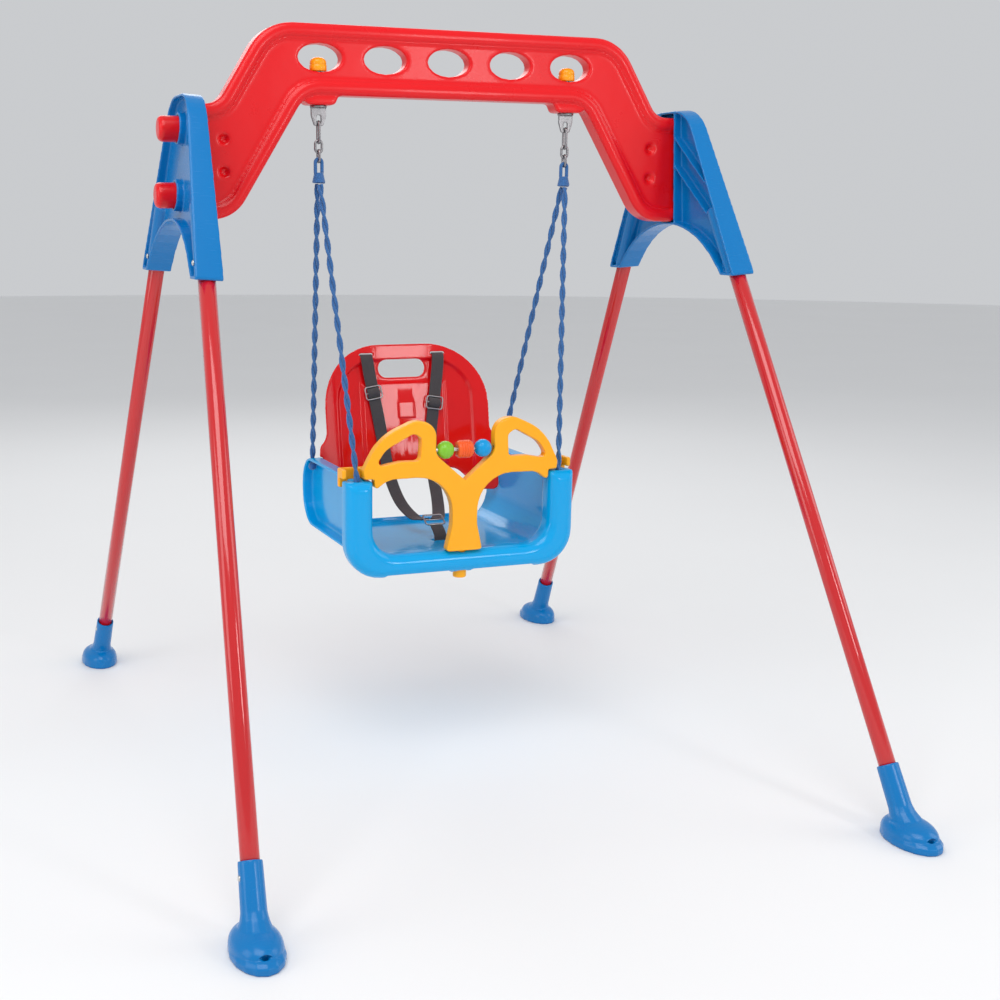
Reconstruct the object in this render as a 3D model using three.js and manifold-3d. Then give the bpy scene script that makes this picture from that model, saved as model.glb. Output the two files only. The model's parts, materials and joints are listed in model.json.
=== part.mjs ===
// A toddler's garden swing: a moulded beam on two A-shaped brackets and four
// tube legs, with a bucket seat hung from two short chains and four ropes.
// Millimetres, +Z up. The origin is on the ground, under the middle of the beam.
// +X runs along the beam and the child faces -Y.
import * as THREE from "three";
import { mergeVertices } from "three/addons/utils/BufferGeometryUtils.js";
import Module from "manifold-3d";

const wasm = await Module();
wasm.setup();

// ---------------------------------------------------------------- dimensions
const CLEARANCE = 0.4; // between pieces that touch or slide

// Legs: each side's pair lies in a plane that leans in towards the swing.
const LEG_DIAMETER = 25;
const LEG_WALL = 1.5;
const LEG_FOOT_X = 480.8; // leg line where it meets the ground
const LEG_FOOT_Y = 618;
const LEG_LEAN_X = 0.071; // how far the leg plane leans per unit of height
const LEG_LEAN_Y = 0.555; // how far each leg leans within its plane
const LEG_BOTTOM = 40; // heights of the tube's ends, along the plane
const LEG_TOP = 872;

// Feet
const FOOT_SOCKET_TOP = 98;
const FOOT_SOCKET_WALL = 3;
const FOOT_HALF_LENGTH = 55;
const FOOT_HALF_WIDTH = 34;
const FOOT_SOLE = 7;
const ANCHOR_HOLE = 8;
const SCREW_DIAMETER = 8;
const SCREW_DROP = 18; // screw below the socket's mouth

// Brackets
const BRACKET_DEPTH = 40;
const BRACKET_TOP = 1043;
const BRACKET_MOUTH = 784;
const BRACKET_SKIN = 4;
const BRACKET_CORNER = 62;
const BRACKET_TAPER = 6; // how much less each face stands out at the top
const SLEEVE_WALL = 4.5;
const ARCH_CROWN = 862;

// Beam
const BEAM_THICK = 40;
const BEAM_TOP = 1148;
const BEAM_UNDER = 1046;
const BEAM_END_TOP = 1029;
const BEAM_END_BOTTOM = 863;
const BEAM_SLANT = 58.5; // degrees from the horizontal
const BEAM_BAND = 21;
const BEAM_RECESS = 6;
const HOLE_SPACING = 103.6;
const HOLE_Z = 1100;
const HOLE_LENGTH = 70;
const HOLE_HEIGHT = 41;
const TENON_DIAMETER = 38;
const TENON_SPACING = 95;
const TENON_Z = 945; // middle of the pair
const TENON_PROUD = 22; // beyond the bracket
const BEAM_END_DEPTH = 11.3; // how far the beam's ends go into the brackets
const BEAM_END_X =
  LEG_FOOT_X - LEG_LEAN_X * TENON_Z - BRACKET_DEPTH / 2 + BEAM_END_DEPTH;
const BEAM_OUTER_X = BEAM_END_X - 39.5; // slanted outer edge at BEAM_END_TOP
const BEAM_INNER_X = BEAM_END_X - 61.5; // slanted inner edge at BEAM_END_BOTTOM

// Hangers
const HANGER_X = 2 * HOLE_SPACING;
const HANGER_BOLT = 10;
const HANGER_BOSS_DROP = 14;
const CAP_DIAMETER = 26;
const CAP_HEIGHT = 20;
const EYE_WIDTH = 24;
const EYE_THICK = 4;
const PIVOT_Z = 1004; // middle of the eye's lower bar, which the chain turns on
const LINK_WIRE = 4;
const LINK_BEND = 5.2; // radius of a link's ends, at the wire's middle
const LINK_STRAIGHTS = [22, 8, 8];

// Ropes
const ROPE_DIAMETER = 10;
const ROPE_EYE_CORD = 5.6;
const ROPE_START_Z = 916;
const ROPE_START_Y = 6;

// Seat: SEAT_Y moves it so that its weight hangs under the pivots.
const SEAT_Y = 10;
const POST_X = 172;
const FRONT_Y = SEAT_Y - 92;
const POST_WIDTH = 43;
const RIM_DEPTH = 40;
const POST_TOP = 468;
const RIM_BOTTOM = 312;
const RIM_HEIGHT = 37;
const RIM_OUTER_BEND = 58; // radius where the front rim turns up into its posts
const RIM_INNER_BEND = 40;
const SIDE_OUTSET = -6; // side panels' outer faces, from the middle of the posts
const SIDE_X = POST_X + SIDE_OUTSET;
const SIDE_WALL = 5;
const SIDE_TOP = 470;
const SIDE_FLANGE = 18;
const FLOOR_TOP = 346;
const FLOOR_WALL = 5;
const EAR_BOTTOM = 354; // lower edge of the side panels' flanges
const REAR_Y = SEAT_Y + 174;
const REAR_ROPE_X = SIDE_X + SIDE_FLANGE / 2;
const REAR_ROPE_Y = SEAT_Y + 142;
const REAR_ROPE_DIP = 4.5; // how far below the flange's inside the rope ends
const REAR_BEND = 46; // radius of the side panels' rear corners

// Backrest
const BACK_Y = SEAT_Y + 150; // front face at BACK_BASE_Z, on the middle line
const BACK_BASE_Z = 450;
const BACK_LEAN = 0.176; // per unit of height
const BACK_WRAP = 22; // how far its sides come forward
const BACK_HALF = 150;
const BACK_TOP = 652;
const BACK_THICK = 4;

// Safety bar
const BAR_THICK = 18;
const BAR_BOW = 12;
const PEG_DIAMETER = 22;
const BEAD_Z = 512;
const BEAD_ROD = 6;
const BEAD_RADIUS = 14.2;
const BEAD_SPACING = 32;

// Harness
const STRAP_WIDTH = 22;
const STRAP_THICK = 1.8;
const STRAP_SLOT_Y = SEAT_Y - 9; // where the crotch strap comes up through the seat
const ADJUSTER_HEIGHTS = { left: 572, right: 551 };

// ----------------------------------------------------------------- materials
const plastic = (color) => new THREE.MeshStandardMaterial({ color, roughness: 0.35 });
const redPlastic = plastic(0xe0202a);
const darkBlue = plastic(0x0a7ccc);
const skyBlue = plastic(0x12a0e0);
const yellow = plastic(0xffb020);
const orange = plastic(0xf07028);
const green = plastic(0x84c83c);
const paint = new THREE.MeshStandardMaterial({ color: 0xd8202a, roughness: 0.2, metalness: 0.3 });
const steel = new THREE.MeshStandardMaterial({ color: 0xa8a6aa, roughness: 0.3, metalness: 1 });
const rope = new THREE.MeshStandardMaterial({ color: 0x1e5fa6, roughness: 0.9 });
const webbing = new THREE.MeshStandardMaterial({ color: 0x38343a, roughness: 0.95 });

// ------------------------------------------------------------- solid helpers
// A closed geometry as a solid, with its shared corners merged.
function solid(geometry) {
  const source = geometry.index ? geometry.toNonIndexed() : geometry;
  const bare = new THREE.BufferGeometry();
  bare.setAttribute("position", source.getAttribute("position"));
  const merged = mergeVertices(bare, 1e-4);
  return new wasm.Manifold(
    new wasm.Mesh({
      numProp: 3,
      vertProperties: new Float32Array(merged.attributes.position.array),
      triVerts: new Uint32Array(merged.index.array),
    }),
  );
}

const join = (...solids) => solids.reduce((whole, next) => whole.add(next));
const cut = (body, ...tools) => tools.reduce((left, tool) => left.subtract(tool), body);

// A named mesh of a solid.
function piece(name, shape, material) {
  const { vertProperties, triVerts } = shape.getMesh();
  const geometry = new THREE.BufferGeometry();
  geometry.setAttribute("position", new THREE.BufferAttribute(new Float32Array(vertProperties), 3));
  geometry.setIndex(new THREE.BufferAttribute(triVerts, 1));
  geometry.computeVertexNormals();
  const mesh = new THREE.Mesh(geometry, material);
  mesh.name = name;
  return mesh;
}

// Outlines are drawn in a plane and given depth along the third axis.
function prism(shape, low, high, axes, curveSegments) {
  const geometry = new THREE.ExtrudeGeometry(shape, {
    depth: high - low,
    bevelEnabled: false,
    curveSegments,
  });
  geometry.translate(0, 0, low);
  geometry.applyMatrix4(new THREE.Matrix4().makeBasis(...axes));
  return solid(geometry);
}
const X = new THREE.Vector3(1, 0, 0);
const Y = new THREE.Vector3(0, 1, 0);
const Z = new THREE.Vector3(0, 0, 1);
const alongX = (shape, low, high, n = 3) => prism(shape, low, high, [Y, Z, X], n);
const alongY = (shape, low, high, n = 3) => prism(shape, -high, -low, [X, Z, Y.clone().negate()], n);

const point = (x, y, z) => new THREE.Vector3(x, y, z);

function box(low, high) {
  const size = point(...high).sub(point(...low));
  const middle = point(...low).add(point(...high)).multiplyScalar(0.5);
  const geometry = new THREE.BoxGeometry(size.x, size.y, size.z);
  return solid(geometry.translate(middle.x, middle.y, middle.z));
}

// A round bar or cone between two points.
function rod(from, to, radius, sides = 20, endRadius = radius) {
  const along = to.clone().sub(from);
  const geometry = new THREE.CylinderGeometry(endRadius, radius, along.length(), sides);
  const turn = new THREE.Quaternion().setFromUnitVectors(Y, along.clone().normalize());
  geometry.applyQuaternion(turn);
  const middle = from.clone().add(to).multiplyScalar(0.5);
  return solid(geometry.translate(middle.x, middle.y, middle.z));
}

// A turned piece about a vertical line through (x, y); the profile is [radius, z] pairs.
function turned(profile, x, y, sides = 20) {
  const points = profile.map(([radius, z]) => new THREE.Vector2(radius, z));
  const geometry = new THREE.LatheGeometry(points, sides);
  geometry.rotateX(Math.PI / 2);
  return solid(geometry.translate(x, y, 0));
}

function ball(centre, radius, sides = 10) {
  const geometry = new THREE.SphereGeometry(radius, sides, sides / 2);
  return solid(geometry.translate(centre.x, centre.y, centre.z));
}

// Triangles that fill a flat ring, wound the same way as the ring.
function capTriangles(ring) {
  const normal = point(0, 0, 0);
  ring.forEach((p, i) => normal.add(p.clone().cross(ring[(i + 1) % ring.length])));
  normal.normalize();
  const right = (Math.abs(normal.x) < 0.9 ? X : Y).clone().cross(normal).normalize();
  const up = normal.clone().cross(right);
  const flat = ring.map((p) => new THREE.Vector2(p.dot(right), p.dot(up)));
  return THREE.ShapeUtils.triangulateShape(flat, []);
}

// Triangles through rows of points; a positive volume shows that they face out.
function closedBody(rows, wrapRows) {
  const count = rows[0].length;
  const points = rows.flat();
  const faces = [];
  const lastRow = wrapRows ? rows.length : rows.length - 1;
  for (let i = 0; i < lastRow; i += 1) {
    const next = ((i + 1) % rows.length) * count;
    for (let j = 0; j < count; j += 1) {
      const k = (j + 1) % count;
      faces.push(i * count + j, i * count + k, next + k);
      faces.push(i * count + j, next + k, next + j);
    }
  }
  if (!wrapRows) {
    const cap = capTriangles(rows[0]);
    const last = (rows.length - 1) * count;
    for (const [a, b, c] of cap) faces.push(c, b, a);
    for (const [a, b, c] of cap) faces.push(last + a, last + b, last + c);
  }
  let volume = 0;
  for (let i = 0; i < faces.length; i += 3) {
    const [a, b, c] = [0, 1, 2].map((n) => points[faces[i + n]]);
    volume += a.dot(b.clone().cross(c));
  }
  if (volume < 0) faces.reverse();
  const geometry = new THREE.BufferGeometry();
  const flat = points.flatMap((p) => p.toArray());
  geometry.setAttribute("position", new THREE.Float32BufferAttribute(flat, 3));
  geometry.setIndex(faces);
  return solid(geometry);
}

// A skin through cross-sections that all have the same number of points.
const loft = (rings) => closedBody(rings, false);

// A bent plate: front(u, v) gives each point of its front face for u and v from 0 to 1.
function plate(front, thickness, across, up) {
  const rows = [];
  for (let i = 0; i <= up; i += 1) {
    const row = [];
    for (let j = 0; j <= across; j += 1) row.push(front(j / across, i / up));
    for (let j = across; j >= 0; j -= 1) {
      row.push(front(j / across, i / up).add(point(0, thickness, 0)));
    }
    rows.push(row);
  }
  return loft(rows);
}

// An outline of [a, b, radius] corners with each corner rounded.
function rounded(corners) {
  const shape = new THREE.Shape();
  corners.forEach(([a, b, radius = 0], i) => {
    const here = new THREE.Vector2(a, b);
    const [beforeA, beforeB] = corners[(i + corners.length - 1) % corners.length];
    const [afterA, afterB] = corners[(i + 1) % corners.length];
    const into = new THREE.Vector2(beforeA, beforeB).sub(here).normalize();
    const out = new THREE.Vector2(afterA, afterB).sub(here).normalize();
    const half = Math.acos(THREE.MathUtils.clamp(into.dot(out), -1, 1)) / 2;
    if (radius === 0 || Math.PI / 2 - half < 0.01) {
      if (i === 0) shape.moveTo(a, b);
      else shape.lineTo(a, b);
      return;
    }
    const reach = radius / Math.tan(half);
    const start = here.clone().addScaledVector(into, reach);
    const end = here.clone().addScaledVector(out, reach);
    const middle = into.clone().add(out).normalize();
    const centre = here.clone().addScaledVector(middle, radius / Math.sin(half));
    const clockwise = into.clone().negate().cross(out) < 0;
    if (i === 0) shape.moveTo(start.x, start.y);
    else shape.lineTo(start.x, start.y);
    shape.absarc(
      centre.x,
      centre.y,
      radius,
      start.clone().sub(centre).angle(),
      end.clone().sub(centre).angle(),
      clockwise,
    );
  });
  shape.closePath();
  return shape;
}

// The same outline moved in by a distance; it must run anticlockwise.
function inset(corners, distance) {
  const count = corners.length;
  const line = (i) => {
    const a = new THREE.Vector2(corners[i][0], corners[i][1]);
    const b = new THREE.Vector2(corners[(i + 1) % count][0], corners[(i + 1) % count][1]);
    const along = b.clone().sub(a).normalize();
    const inward = new THREE.Vector2(-along.y, along.x);
    return { from: a.addScaledVector(inward, distance), along };
  };
  return corners.map(([, , radius = 0], i) => {
    const one = line((i + count - 1) % count);
    const two = line(i);
    const turn = one.along.cross(two.along);
    const step = two.from.clone().sub(one.from).cross(two.along) / turn;
    const corner = one.from.clone().addScaledVector(one.along, step);
    const smaller = turn > 0 ? Math.max(radius - distance, 2) : radius + distance;
    return [corner.x, corner.y, radius === 0 ? 0 : smaller];
  });
}

// The right half of an outline and its mirror image, as one anticlockwise list.
function bothSides(right) {
  const left = right.map(([a, b, radius]) => [-a, b, radius]).reverse();
  return [...right, ...left];
}

function oval(a, b, length, height) {
  const shape = new THREE.Shape();
  shape.absellipse(a, b, length / 2, height / 2, 0, 2 * Math.PI);
  return shape;
}

// ---------------------------------------------------------------------- legs
const legSlope = Math.hypot(1, LEG_LEAN_Y);
const legDirection = point(0, -LEG_LEAN_Y / legSlope, 1 / legSlope);
// A point on the middle line of the +Y leg, by height along the leg plane.
const onLeg = (height) => point(0, LEG_FOOT_Y - LEG_LEAN_Y * height, height);

function legTube() {
  const outer = rod(onLeg(LEG_BOTTOM), onLeg(LEG_TOP), LEG_DIAMETER / 2, 16);
  const below = onLeg(LEG_BOTTOM - 5);
  const bore = rod(below, onLeg(LEG_TOP + 5), LEG_DIAMETER / 2 - LEG_WALL, 16);
  return cut(outer, bore);
}

// A ring of points round the leg line, square to it.
function legRing(height, radius, sides) {
  const centre = onLeg(height);
  const side = point(1, 0, 0);
  const forward = legDirection.clone().cross(side);
  const ring = [];
  for (let i = 0; i < sides; i += 1) {
    const angle = (2 * Math.PI * i) / sides;
    const p = centre.clone().addScaledVector(side, radius * Math.cos(angle));
    ring.push(p.addScaledVector(forward, radius * Math.sin(angle)));
  }
  return ring;
}

function footRing(height, halfWidth, halfLength, shift, sides) {
  const ring = [];
  for (let i = 0; i < sides; i += 1) {
    const angle = (2 * Math.PI * i) / sides;
    const x = LEG_FOOT_X + halfWidth * Math.cos(angle);
    ring.push(toLegPlane(point(x, LEG_FOOT_Y + shift + halfLength * Math.sin(angle), height)));
  }
  return ring;
}

function foot() {
  const sides = 16;
  const socket = LEG_DIAMETER / 2 + CLEARANCE + FOOT_SOCKET_WALL;
  const [w, l] = [FOOT_HALF_WIDTH, FOOT_HALF_LENGTH];
  const instep = LEG_LEAN_Y * FOOT_SOLE;
  const body = loft([
    footRing(0, w - 1, l - 1, 0, sides),
    footRing(2, w, l, 0, sides),
    footRing(FOOT_SOLE + 2, w, l, 0, sides),
    footRing(FOOT_SOLE + 7, w - 3, l - 4, -1, sides),
    footRing(FOOT_SOLE + 12, w * 0.8, l * 0.74, -instep - 1, sides),
    legRing(35, socket + 3, sides),
    legRing(44, socket + 1, sides),
    legRing(FOOT_SOCKET_TOP, socket, sides),
  ]);
  const low = onLeg(LEG_BOTTOM - CLEARANCE);
  const bore = rod(low, onLeg(FOOT_SOCKET_TOP + 20), LEG_DIAMETER / 2 + CLEARANCE, 16);
  const toe = (z) => toLegPlane(point(LEG_FOOT_X, LEG_FOOT_Y + FOOT_HALF_LENGTH - 16, z));
  const anchor = rod(toe(-5), toe(30), ANCHOR_HOLE / 2, 10);
  return cut(body, bore, anchor, screw(FOOT_SOCKET_TOP - SCREW_DROP, socket, CLEARANCE));
}

// A countersunk screw through a socket's outer wall into the tube.
function screw(height, socketRadius, gap = 0) {
  const at = onLeg(height);
  const radius = SCREW_DIAMETER / 2 + gap;
  const shank = radius * 0.5 + gap / 2;
  const face = socketRadius + 0.8;
  const tip = LEG_DIAMETER / 2 - LEG_WALL - 6;
  const along = (x) => at.clone().setX(x);
  const outside = gap > 0 ? 10 : 0;
  const headBack = face - 2.4 - gap;
  const head = rod(along(headBack), along(face + outside), radius, 12);
  return join(head, rod(along(gap > 0 ? 0 : tip), along(headBack + 1), shank, 8));
}

function drilled(tube) {
  const radius = SCREW_DIAMETER / 4 + CLEARANCE;
  const holes = [FOOT_SOCKET_TOP - SCREW_DROP, BRACKET_MOUTH + SCREW_DROP + 4].map((height) => {
    const at = onLeg(height);
    return rod(at.clone(), at.clone().setX(LEG_DIAMETER), radius, 8);
  });
  return cut(tube, ...holes);
}

// ------------------------------------------------------------------ brackets
// Drawn in the leg plane: across is +Y, up is the height along the plane.
function bracketOutline() {
  const edge = (height) => LEG_FOOT_Y - LEG_LEAN_Y * height;
  const wall = (LEG_DIAMETER / 2 + SLEEVE_WALL) * legSlope;
  const mouth = edge(BRACKET_MOUTH) - wall;
  const rise = ARCH_CROWN - BRACKET_MOUTH;
  const radius = (mouth * mouth + rise * rise) / (2 * rise);
  const arch = [];
  const steps = 8;
  for (let i = 0; i < steps; i += 1) {
    const y = (mouth * (i + 0.5)) / steps;
    arch.push([y, ARCH_CROWN - radius + Math.sqrt(radius * radius - y * y), 0]);
  }
  return bothSides([
    ...arch,
    [mouth, BRACKET_MOUTH, 3],
    [edge(BRACKET_MOUTH) + wall, BRACKET_MOUTH, 3],
    [edge(BRACKET_TOP) + wall, BRACKET_TOP, BRACKET_CORNER],
  ]);
}

// Leg plane to world axes, for the +X side.
const planeAngle = Math.atan(LEG_LEAN_X);
function inLegPlane(group) {
  group.position.x = LEG_FOOT_X;
  group.rotation.y = -planeAngle;
  return group;
}
const legPlaneMatrix = new THREE.Matrix4()
  .makeRotationY(-planeAngle)
  .setPosition(LEG_FOOT_X, 0, 0);
const toLegPlane = (p) => p.applyMatrix4(legPlaneMatrix.clone().invert());

const tenonHeights = [TENON_Z - TENON_SPACING / 2, TENON_Z + TENON_SPACING / 2];
const bracketFaceX = (z) => LEG_FOOT_X - LEG_LEAN_X * z + BRACKET_DEPTH / 2;

function bracket() {
  const half = BRACKET_DEPTH / 2;
  const outline = bracketOutline();
  const block = alongX(rounded(outline), -half, half);
  const inner = inset(outline, BRACKET_SKIN);
  const webBack = BRACKET_SKIN / 2;
  const insidePocket = alongX(rounded(inner), -half - 1, -webBack);
  const outsidePocket = alongX(rounded(inner), webBack, half + 1);
  let body = cut(block, insidePocket, outsidePocket);

  // Sleeves for the legs, walls beside the beam's end, collars and ribs.
  const parts = [];
  for (const sign of [-1, 1]) {
    const mirror = (p) => p.setY(p.y * sign);
    const sleeveTop = LEG_TOP + 14;
    const sleeve = LEG_DIAMETER / 2 + SLEEVE_WALL;
    const foot_ = mirror(onLeg(BRACKET_MOUTH + 3));
    parts.push(rod(foot_, mirror(onLeg(sleeveTop)), sleeve, 16));
    const wallIn = BEAM_THICK / 2 + CLEARANCE;
    const wallOut = wallIn + BRACKET_SKIN;
    const walls = [Math.min(sign * wallIn, sign * wallOut), Math.max(sign * wallIn, sign * wallOut)];
    parts.push(box([-half, walls[0], ARCH_CROWN - 6], [0, walls[1], BRACKET_TOP - 2]));
    for (const high of [BRACKET_TOP - 88, BRACKET_TOP - 43]) {
      const from = point(-half / 2 - 2, sign * (wallOut - 1), high);
      const to = from.clone().add(point(0, sign * 95, -76));
      parts.push(diagonalRib(from, to, half - 4));
    }
  }
  for (const z of tenonHeights) {
    const centre = toLegPlane(point(bracketFaceX(z) - half, 0, z));
    const radius = TENON_DIAMETER / 2 + CLEARANCE + BRACKET_SKIN;
    parts.push(rod(point(0, 0, centre.z), point(half - 6, 0, centre.z), radius, 16));
  }
  const keepIn = alongX(rounded(outline), -half, half);
  body = join(body, ...parts.map((part) => part.intersect(keepIn)));
  body = body.intersect(taper());

  const tools = [];
  for (const sign of [-1, 1]) {
    const mirror = (p) => p.setY(p.y * sign);
    const bore = LEG_DIAMETER / 2 + CLEARANCE;
    const top = mirror(onLeg(LEG_TOP + CLEARANCE));
    tools.push(rod(mirror(onLeg(BRACKET_MOUTH - 30)), top, bore, 16));
    const driven = screw(BRACKET_MOUTH + SCREW_DROP + 4, half - 1.5, CLEARANCE);
    tools.push(sign > 0 ? driven : flipY(driven));
  }
  tools.push(beamEndRoom());
  return cut(body, ...tools);
}

// The bracket's faces draw closer together from its mouth to its top.
function taper() {
  const half = BRACKET_DEPTH / 2;
  const ring = (z, reach) => [
    point(-reach, -500, z),
    point(reach, -500, z),
    point(reach, 500, z),
    point(-reach, 500, z),
  ];
  const low = BRACKET_MOUTH + 20;
  return loft([
    ring(0, half),
    ring(low, half),
    ring(BRACKET_TOP, half - BRACKET_TAPER),
    ring(BRACKET_TOP + 50, half - BRACKET_TAPER),
  ]);
}

// A thin upright strip between two points of the bracket's inner side.
function diagonalRib(from, to, depth) {
  const along = to.clone().sub(from).normalize();
  const across = along.clone().cross(X).multiplyScalar(1.5);
  const ring = (p) => [
    p.clone().add(across).setX(-depth),
    p.clone().sub(across).setX(-depth),
    p.clone().sub(across).setX(0),
    p.clone().add(across).setX(0),
  ];
  return loft([ring(from), ring(to)]);
}

function flipY(shape) {
  const mesh = shape.getMesh();
  const geometry = new THREE.BufferGeometry();
  const flat = new Float32Array(mesh.vertProperties);
  for (let i = 1; i < flat.length; i += 3) flat[i] *= -1;
  geometry.setAttribute("position", new THREE.BufferAttribute(flat, 3));
  geometry.setIndex(new THREE.BufferAttribute(mesh.triVerts.slice().reverse(), 1));
  return solid(geometry);
}

// The space that the beam's end and tenons take up, in the leg plane's axes.
function beamEndRoom() {
  const gap = CLEARANCE;
  const reach = BEAM_THICK / 2 + gap;
  const low = BEAM_END_BOTTOM - gap;
  const end = box([BEAM_END_X - 60, -reach, low], [BEAM_END_X + gap, reach, BEAM_END_TOP + gap]);
  const tenons = tenonHeights.map((z) => {
    const far = point(BEAM_END_X + 90, 0, z);
    return rod(point(BEAM_END_X - 5, 0, z), far, TENON_DIAMETER / 2 + gap, 16);
  });
  const world = join(end, ...tenons).getMesh();
  const geometry = new THREE.BufferGeometry();
  const flat = new Float32Array(world.vertProperties);
  geometry.setAttribute("position", new THREE.BufferAttribute(flat, 3));
  geometry.setIndex(new THREE.BufferAttribute(world.triVerts, 1));
  return solid(geometry.applyMatrix4(legPlaneMatrix.clone().invert()));
}

// ---------------------------------------------------------------------- beam
function beamOutline() {
  const slope = Math.tan(THREE.MathUtils.degToRad(BEAM_SLANT));
  const topX = BEAM_OUTER_X - (BEAM_TOP - BEAM_END_TOP) / slope;
  const underX = BEAM_INNER_X - (BEAM_UNDER - BEAM_END_BOTTOM) / slope;
  return bothSides([
    [underX, BEAM_UNDER, 40],
    [BEAM_INNER_X, BEAM_END_BOTTOM, 60],
    [BEAM_END_X, BEAM_END_BOTTOM, 5],
    [BEAM_END_X, BEAM_END_TOP, 5],
    [BEAM_OUTER_X, BEAM_END_TOP, 32],
    [topX, BEAM_TOP, 75],
  ]);
}

function crossbeam() {
  const half = BEAM_THICK / 2;
  const outline = beamOutline();
  const slab = alongY(rounded(outline), -half, half, 4);
  const beyond = outline.map(([a, b, radius]) =>
    [Math.abs(a) === BEAM_END_X ? a + Math.sign(a) * (BEAM_BAND + 5) : a, b, radius]);
  const recess = rounded(inset(beyond, BEAM_BAND));
  const web = half - BEAM_RECESS;
  const tools = [alongY(recess, web, half + 1, 4), alongY(recess, -half - 1, -web, 4)];
  for (let i = -2; i <= 2; i += 1) {
    const hole = oval(i * HOLE_SPACING, HOLE_Z, HOLE_LENGTH, HOLE_HEIGHT);
    tools.push(alongY(hole, -half - 1, half + 1, 8));
  }
  const additions = [];
  for (const side of [-1, 1]) {
    const x = side * HANGER_X;
    const bossBottom = BEAM_UNDER - HANGER_BOSS_DROP;
    additions.push(alongY(rounded([
      [x - 34, BEAM_UNDER + 12],
      [x - 22, bossBottom, 6],
      [x + 22, bossBottom, 6],
      [x + 34, BEAM_UNDER + 12],
    ]), -half + 3, half - 3));
    const bore = HANGER_BOLT / 2 + CLEARANCE;
    tools.push(rod(point(x, 0, bossBottom - 5), point(x, 0, HOLE_Z - 5), bore, 10));
    for (const z of tenonHeights) {
      const tip = bracketFaceX(z) + TENON_PROUD;
      const start = point(side * (BEAM_END_X - 5), 0, z);
      additions.push(rod(start, point(side * (tip - 4), 0, z), TENON_DIAMETER / 2, 16));
      const nose = rod(point(side * (tip - 4.2), 0, z), point(side * tip, 0, z), TENON_DIAMETER / 2, 16, TENON_DIAMETER / 2 - 4);
      additions.push(nose);
    }
    for (const z of [TENON_Z - 13, TENON_Z + 34]) {
      for (const face of [-1, 1]) {
        const deep = point(side * (BEAM_END_X - 48), face * (web - 7), z);
        const open = point(side * (BEAM_END_X - 48), face * (web + 1), z);
        tools.push(rod(deep, open, 5, 10, 9));
      }
    }
  }
  return cut(join(slab, ...additions), ...tools);
}

// ------------------------------------------------------------------- hangers
function hangerCap() {
  const low = HOLE_Z - HOLE_HEIGHT / 2 + 1.9;
  const radius = CAP_DIAMETER / 2;
  const bore = HANGER_BOLT / 2 + CLEARANCE;
  return turned([
    [bore, low],
    [radius, low],
    [radius, low + CAP_HEIGHT - 5],
    [radius - 4, low + CAP_HEIGHT],
    [0, low + CAP_HEIGHT],
    [0, low + CAP_HEIGHT - 6],
    [bore, low + CAP_HEIGHT - 6],
    [bore, low],
  ], HANGER_X, 0);
}

const boltTop = HOLE_Z - HOLE_HEIGHT / 2 + 1.9 + CAP_HEIGHT - 7;

function eyebolt() {
  const bossBottom = BEAM_UNDER - HANGER_BOSS_DROP;
  const top = bossBottom - CLEARANCE;
  const plateShape = rounded([
    [HANGER_X - 7, PIVOT_Z - EYE_THICK / 2, 3],
    [HANGER_X + 7, PIVOT_Z - EYE_THICK / 2, 3],
    [HANGER_X + EYE_WIDTH / 2, PIVOT_Z + 13, 8],
    [HANGER_X + EYE_WIDTH / 2, top - 1],
    [HANGER_X - EYE_WIDTH / 2, top - 1],
    [HANGER_X - EYE_WIDTH / 2, PIVOT_Z + 13, 8],
  ]);
  const eyeHole = rounded([
    [HANGER_X - 3.4, PIVOT_Z + EYE_THICK / 2, 2],
    [HANGER_X + 3.4, PIVOT_Z + EYE_THICK / 2, 2],
    [HANGER_X + 3.4, PIVOT_Z + 14, 3],
    [HANGER_X - 3.4, PIVOT_Z + 14, 3],
  ]);
  const flat = cut(alongY(plateShape, -EYE_THICK / 2, EYE_THICK / 2), alongY(eyeHole, -5, 5));
  const at = (z) => point(HANGER_X, 0, z);
  const flange = rod(at(top - 3), at(top), EYE_WIDTH / 2 + 1, 16);
  return join(flat, flange, rod(at(top - 1), at(boltTop), HANGER_BOLT / 2, 10));
}

// A closed wire link; its ends are half circles and its straights are vertical.
function chainLink(topZ, straight, across) {
  const rows = [];
  const steps = 6;
  for (const end of [0, 1]) {
    for (let i = 0; i <= steps; i += 1) {
      const angle = Math.PI * (end + i / steps);
      const z = topZ - (end === 0 ? 0 : straight);
      const middle = point(HANGER_X, 0, z)
        .addScaledVector(across, LINK_BEND * Math.cos(angle))
        .add(point(0, 0, LINK_BEND * Math.sin(angle)));
      const outward = across.clone().multiplyScalar(Math.cos(angle)).add(point(0, 0, Math.sin(angle)));
      const normal = across.clone().cross(Z);
      const ring = [];
      for (let j = 0; j < 6; j += 1) {
        const turn = (2 * Math.PI * (j + 0.5)) / 6;
        ring.push(middle.clone()
          .addScaledVector(outward, (LINK_WIRE / 2) * Math.cos(turn))
          .addScaledVector(normal, (LINK_WIRE / 2) * Math.sin(turn)));
      }
      rows.push(ring);
    }
  }
  return closedBody(rows, true);
}

// Heights of each link's upper bend, and of the wire below the last one.
function chainHeights() {
  const tops = [];
  let bend = PIVOT_Z;
  for (const straight of LINK_STRAIGHTS) {
    tops.push(bend);
    bend = bend - straight - LINK_BEND + LINK_WIRE + CLEARANCE - LINK_BEND;
  }
  return { tops, wire: bend + LINK_BEND - LINK_WIRE - CLEARANCE };
}

function chainPieces(side) {
  const { tops } = chainHeights();
  return tops.map((z, i) => {
    const across = i % 2 === 0 ? Y : X;
    return piece(`chain_link_${i + 1}_${side}`, chainLink(z, LINK_STRAIGHTS[i], across), steel);
  });
}

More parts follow.
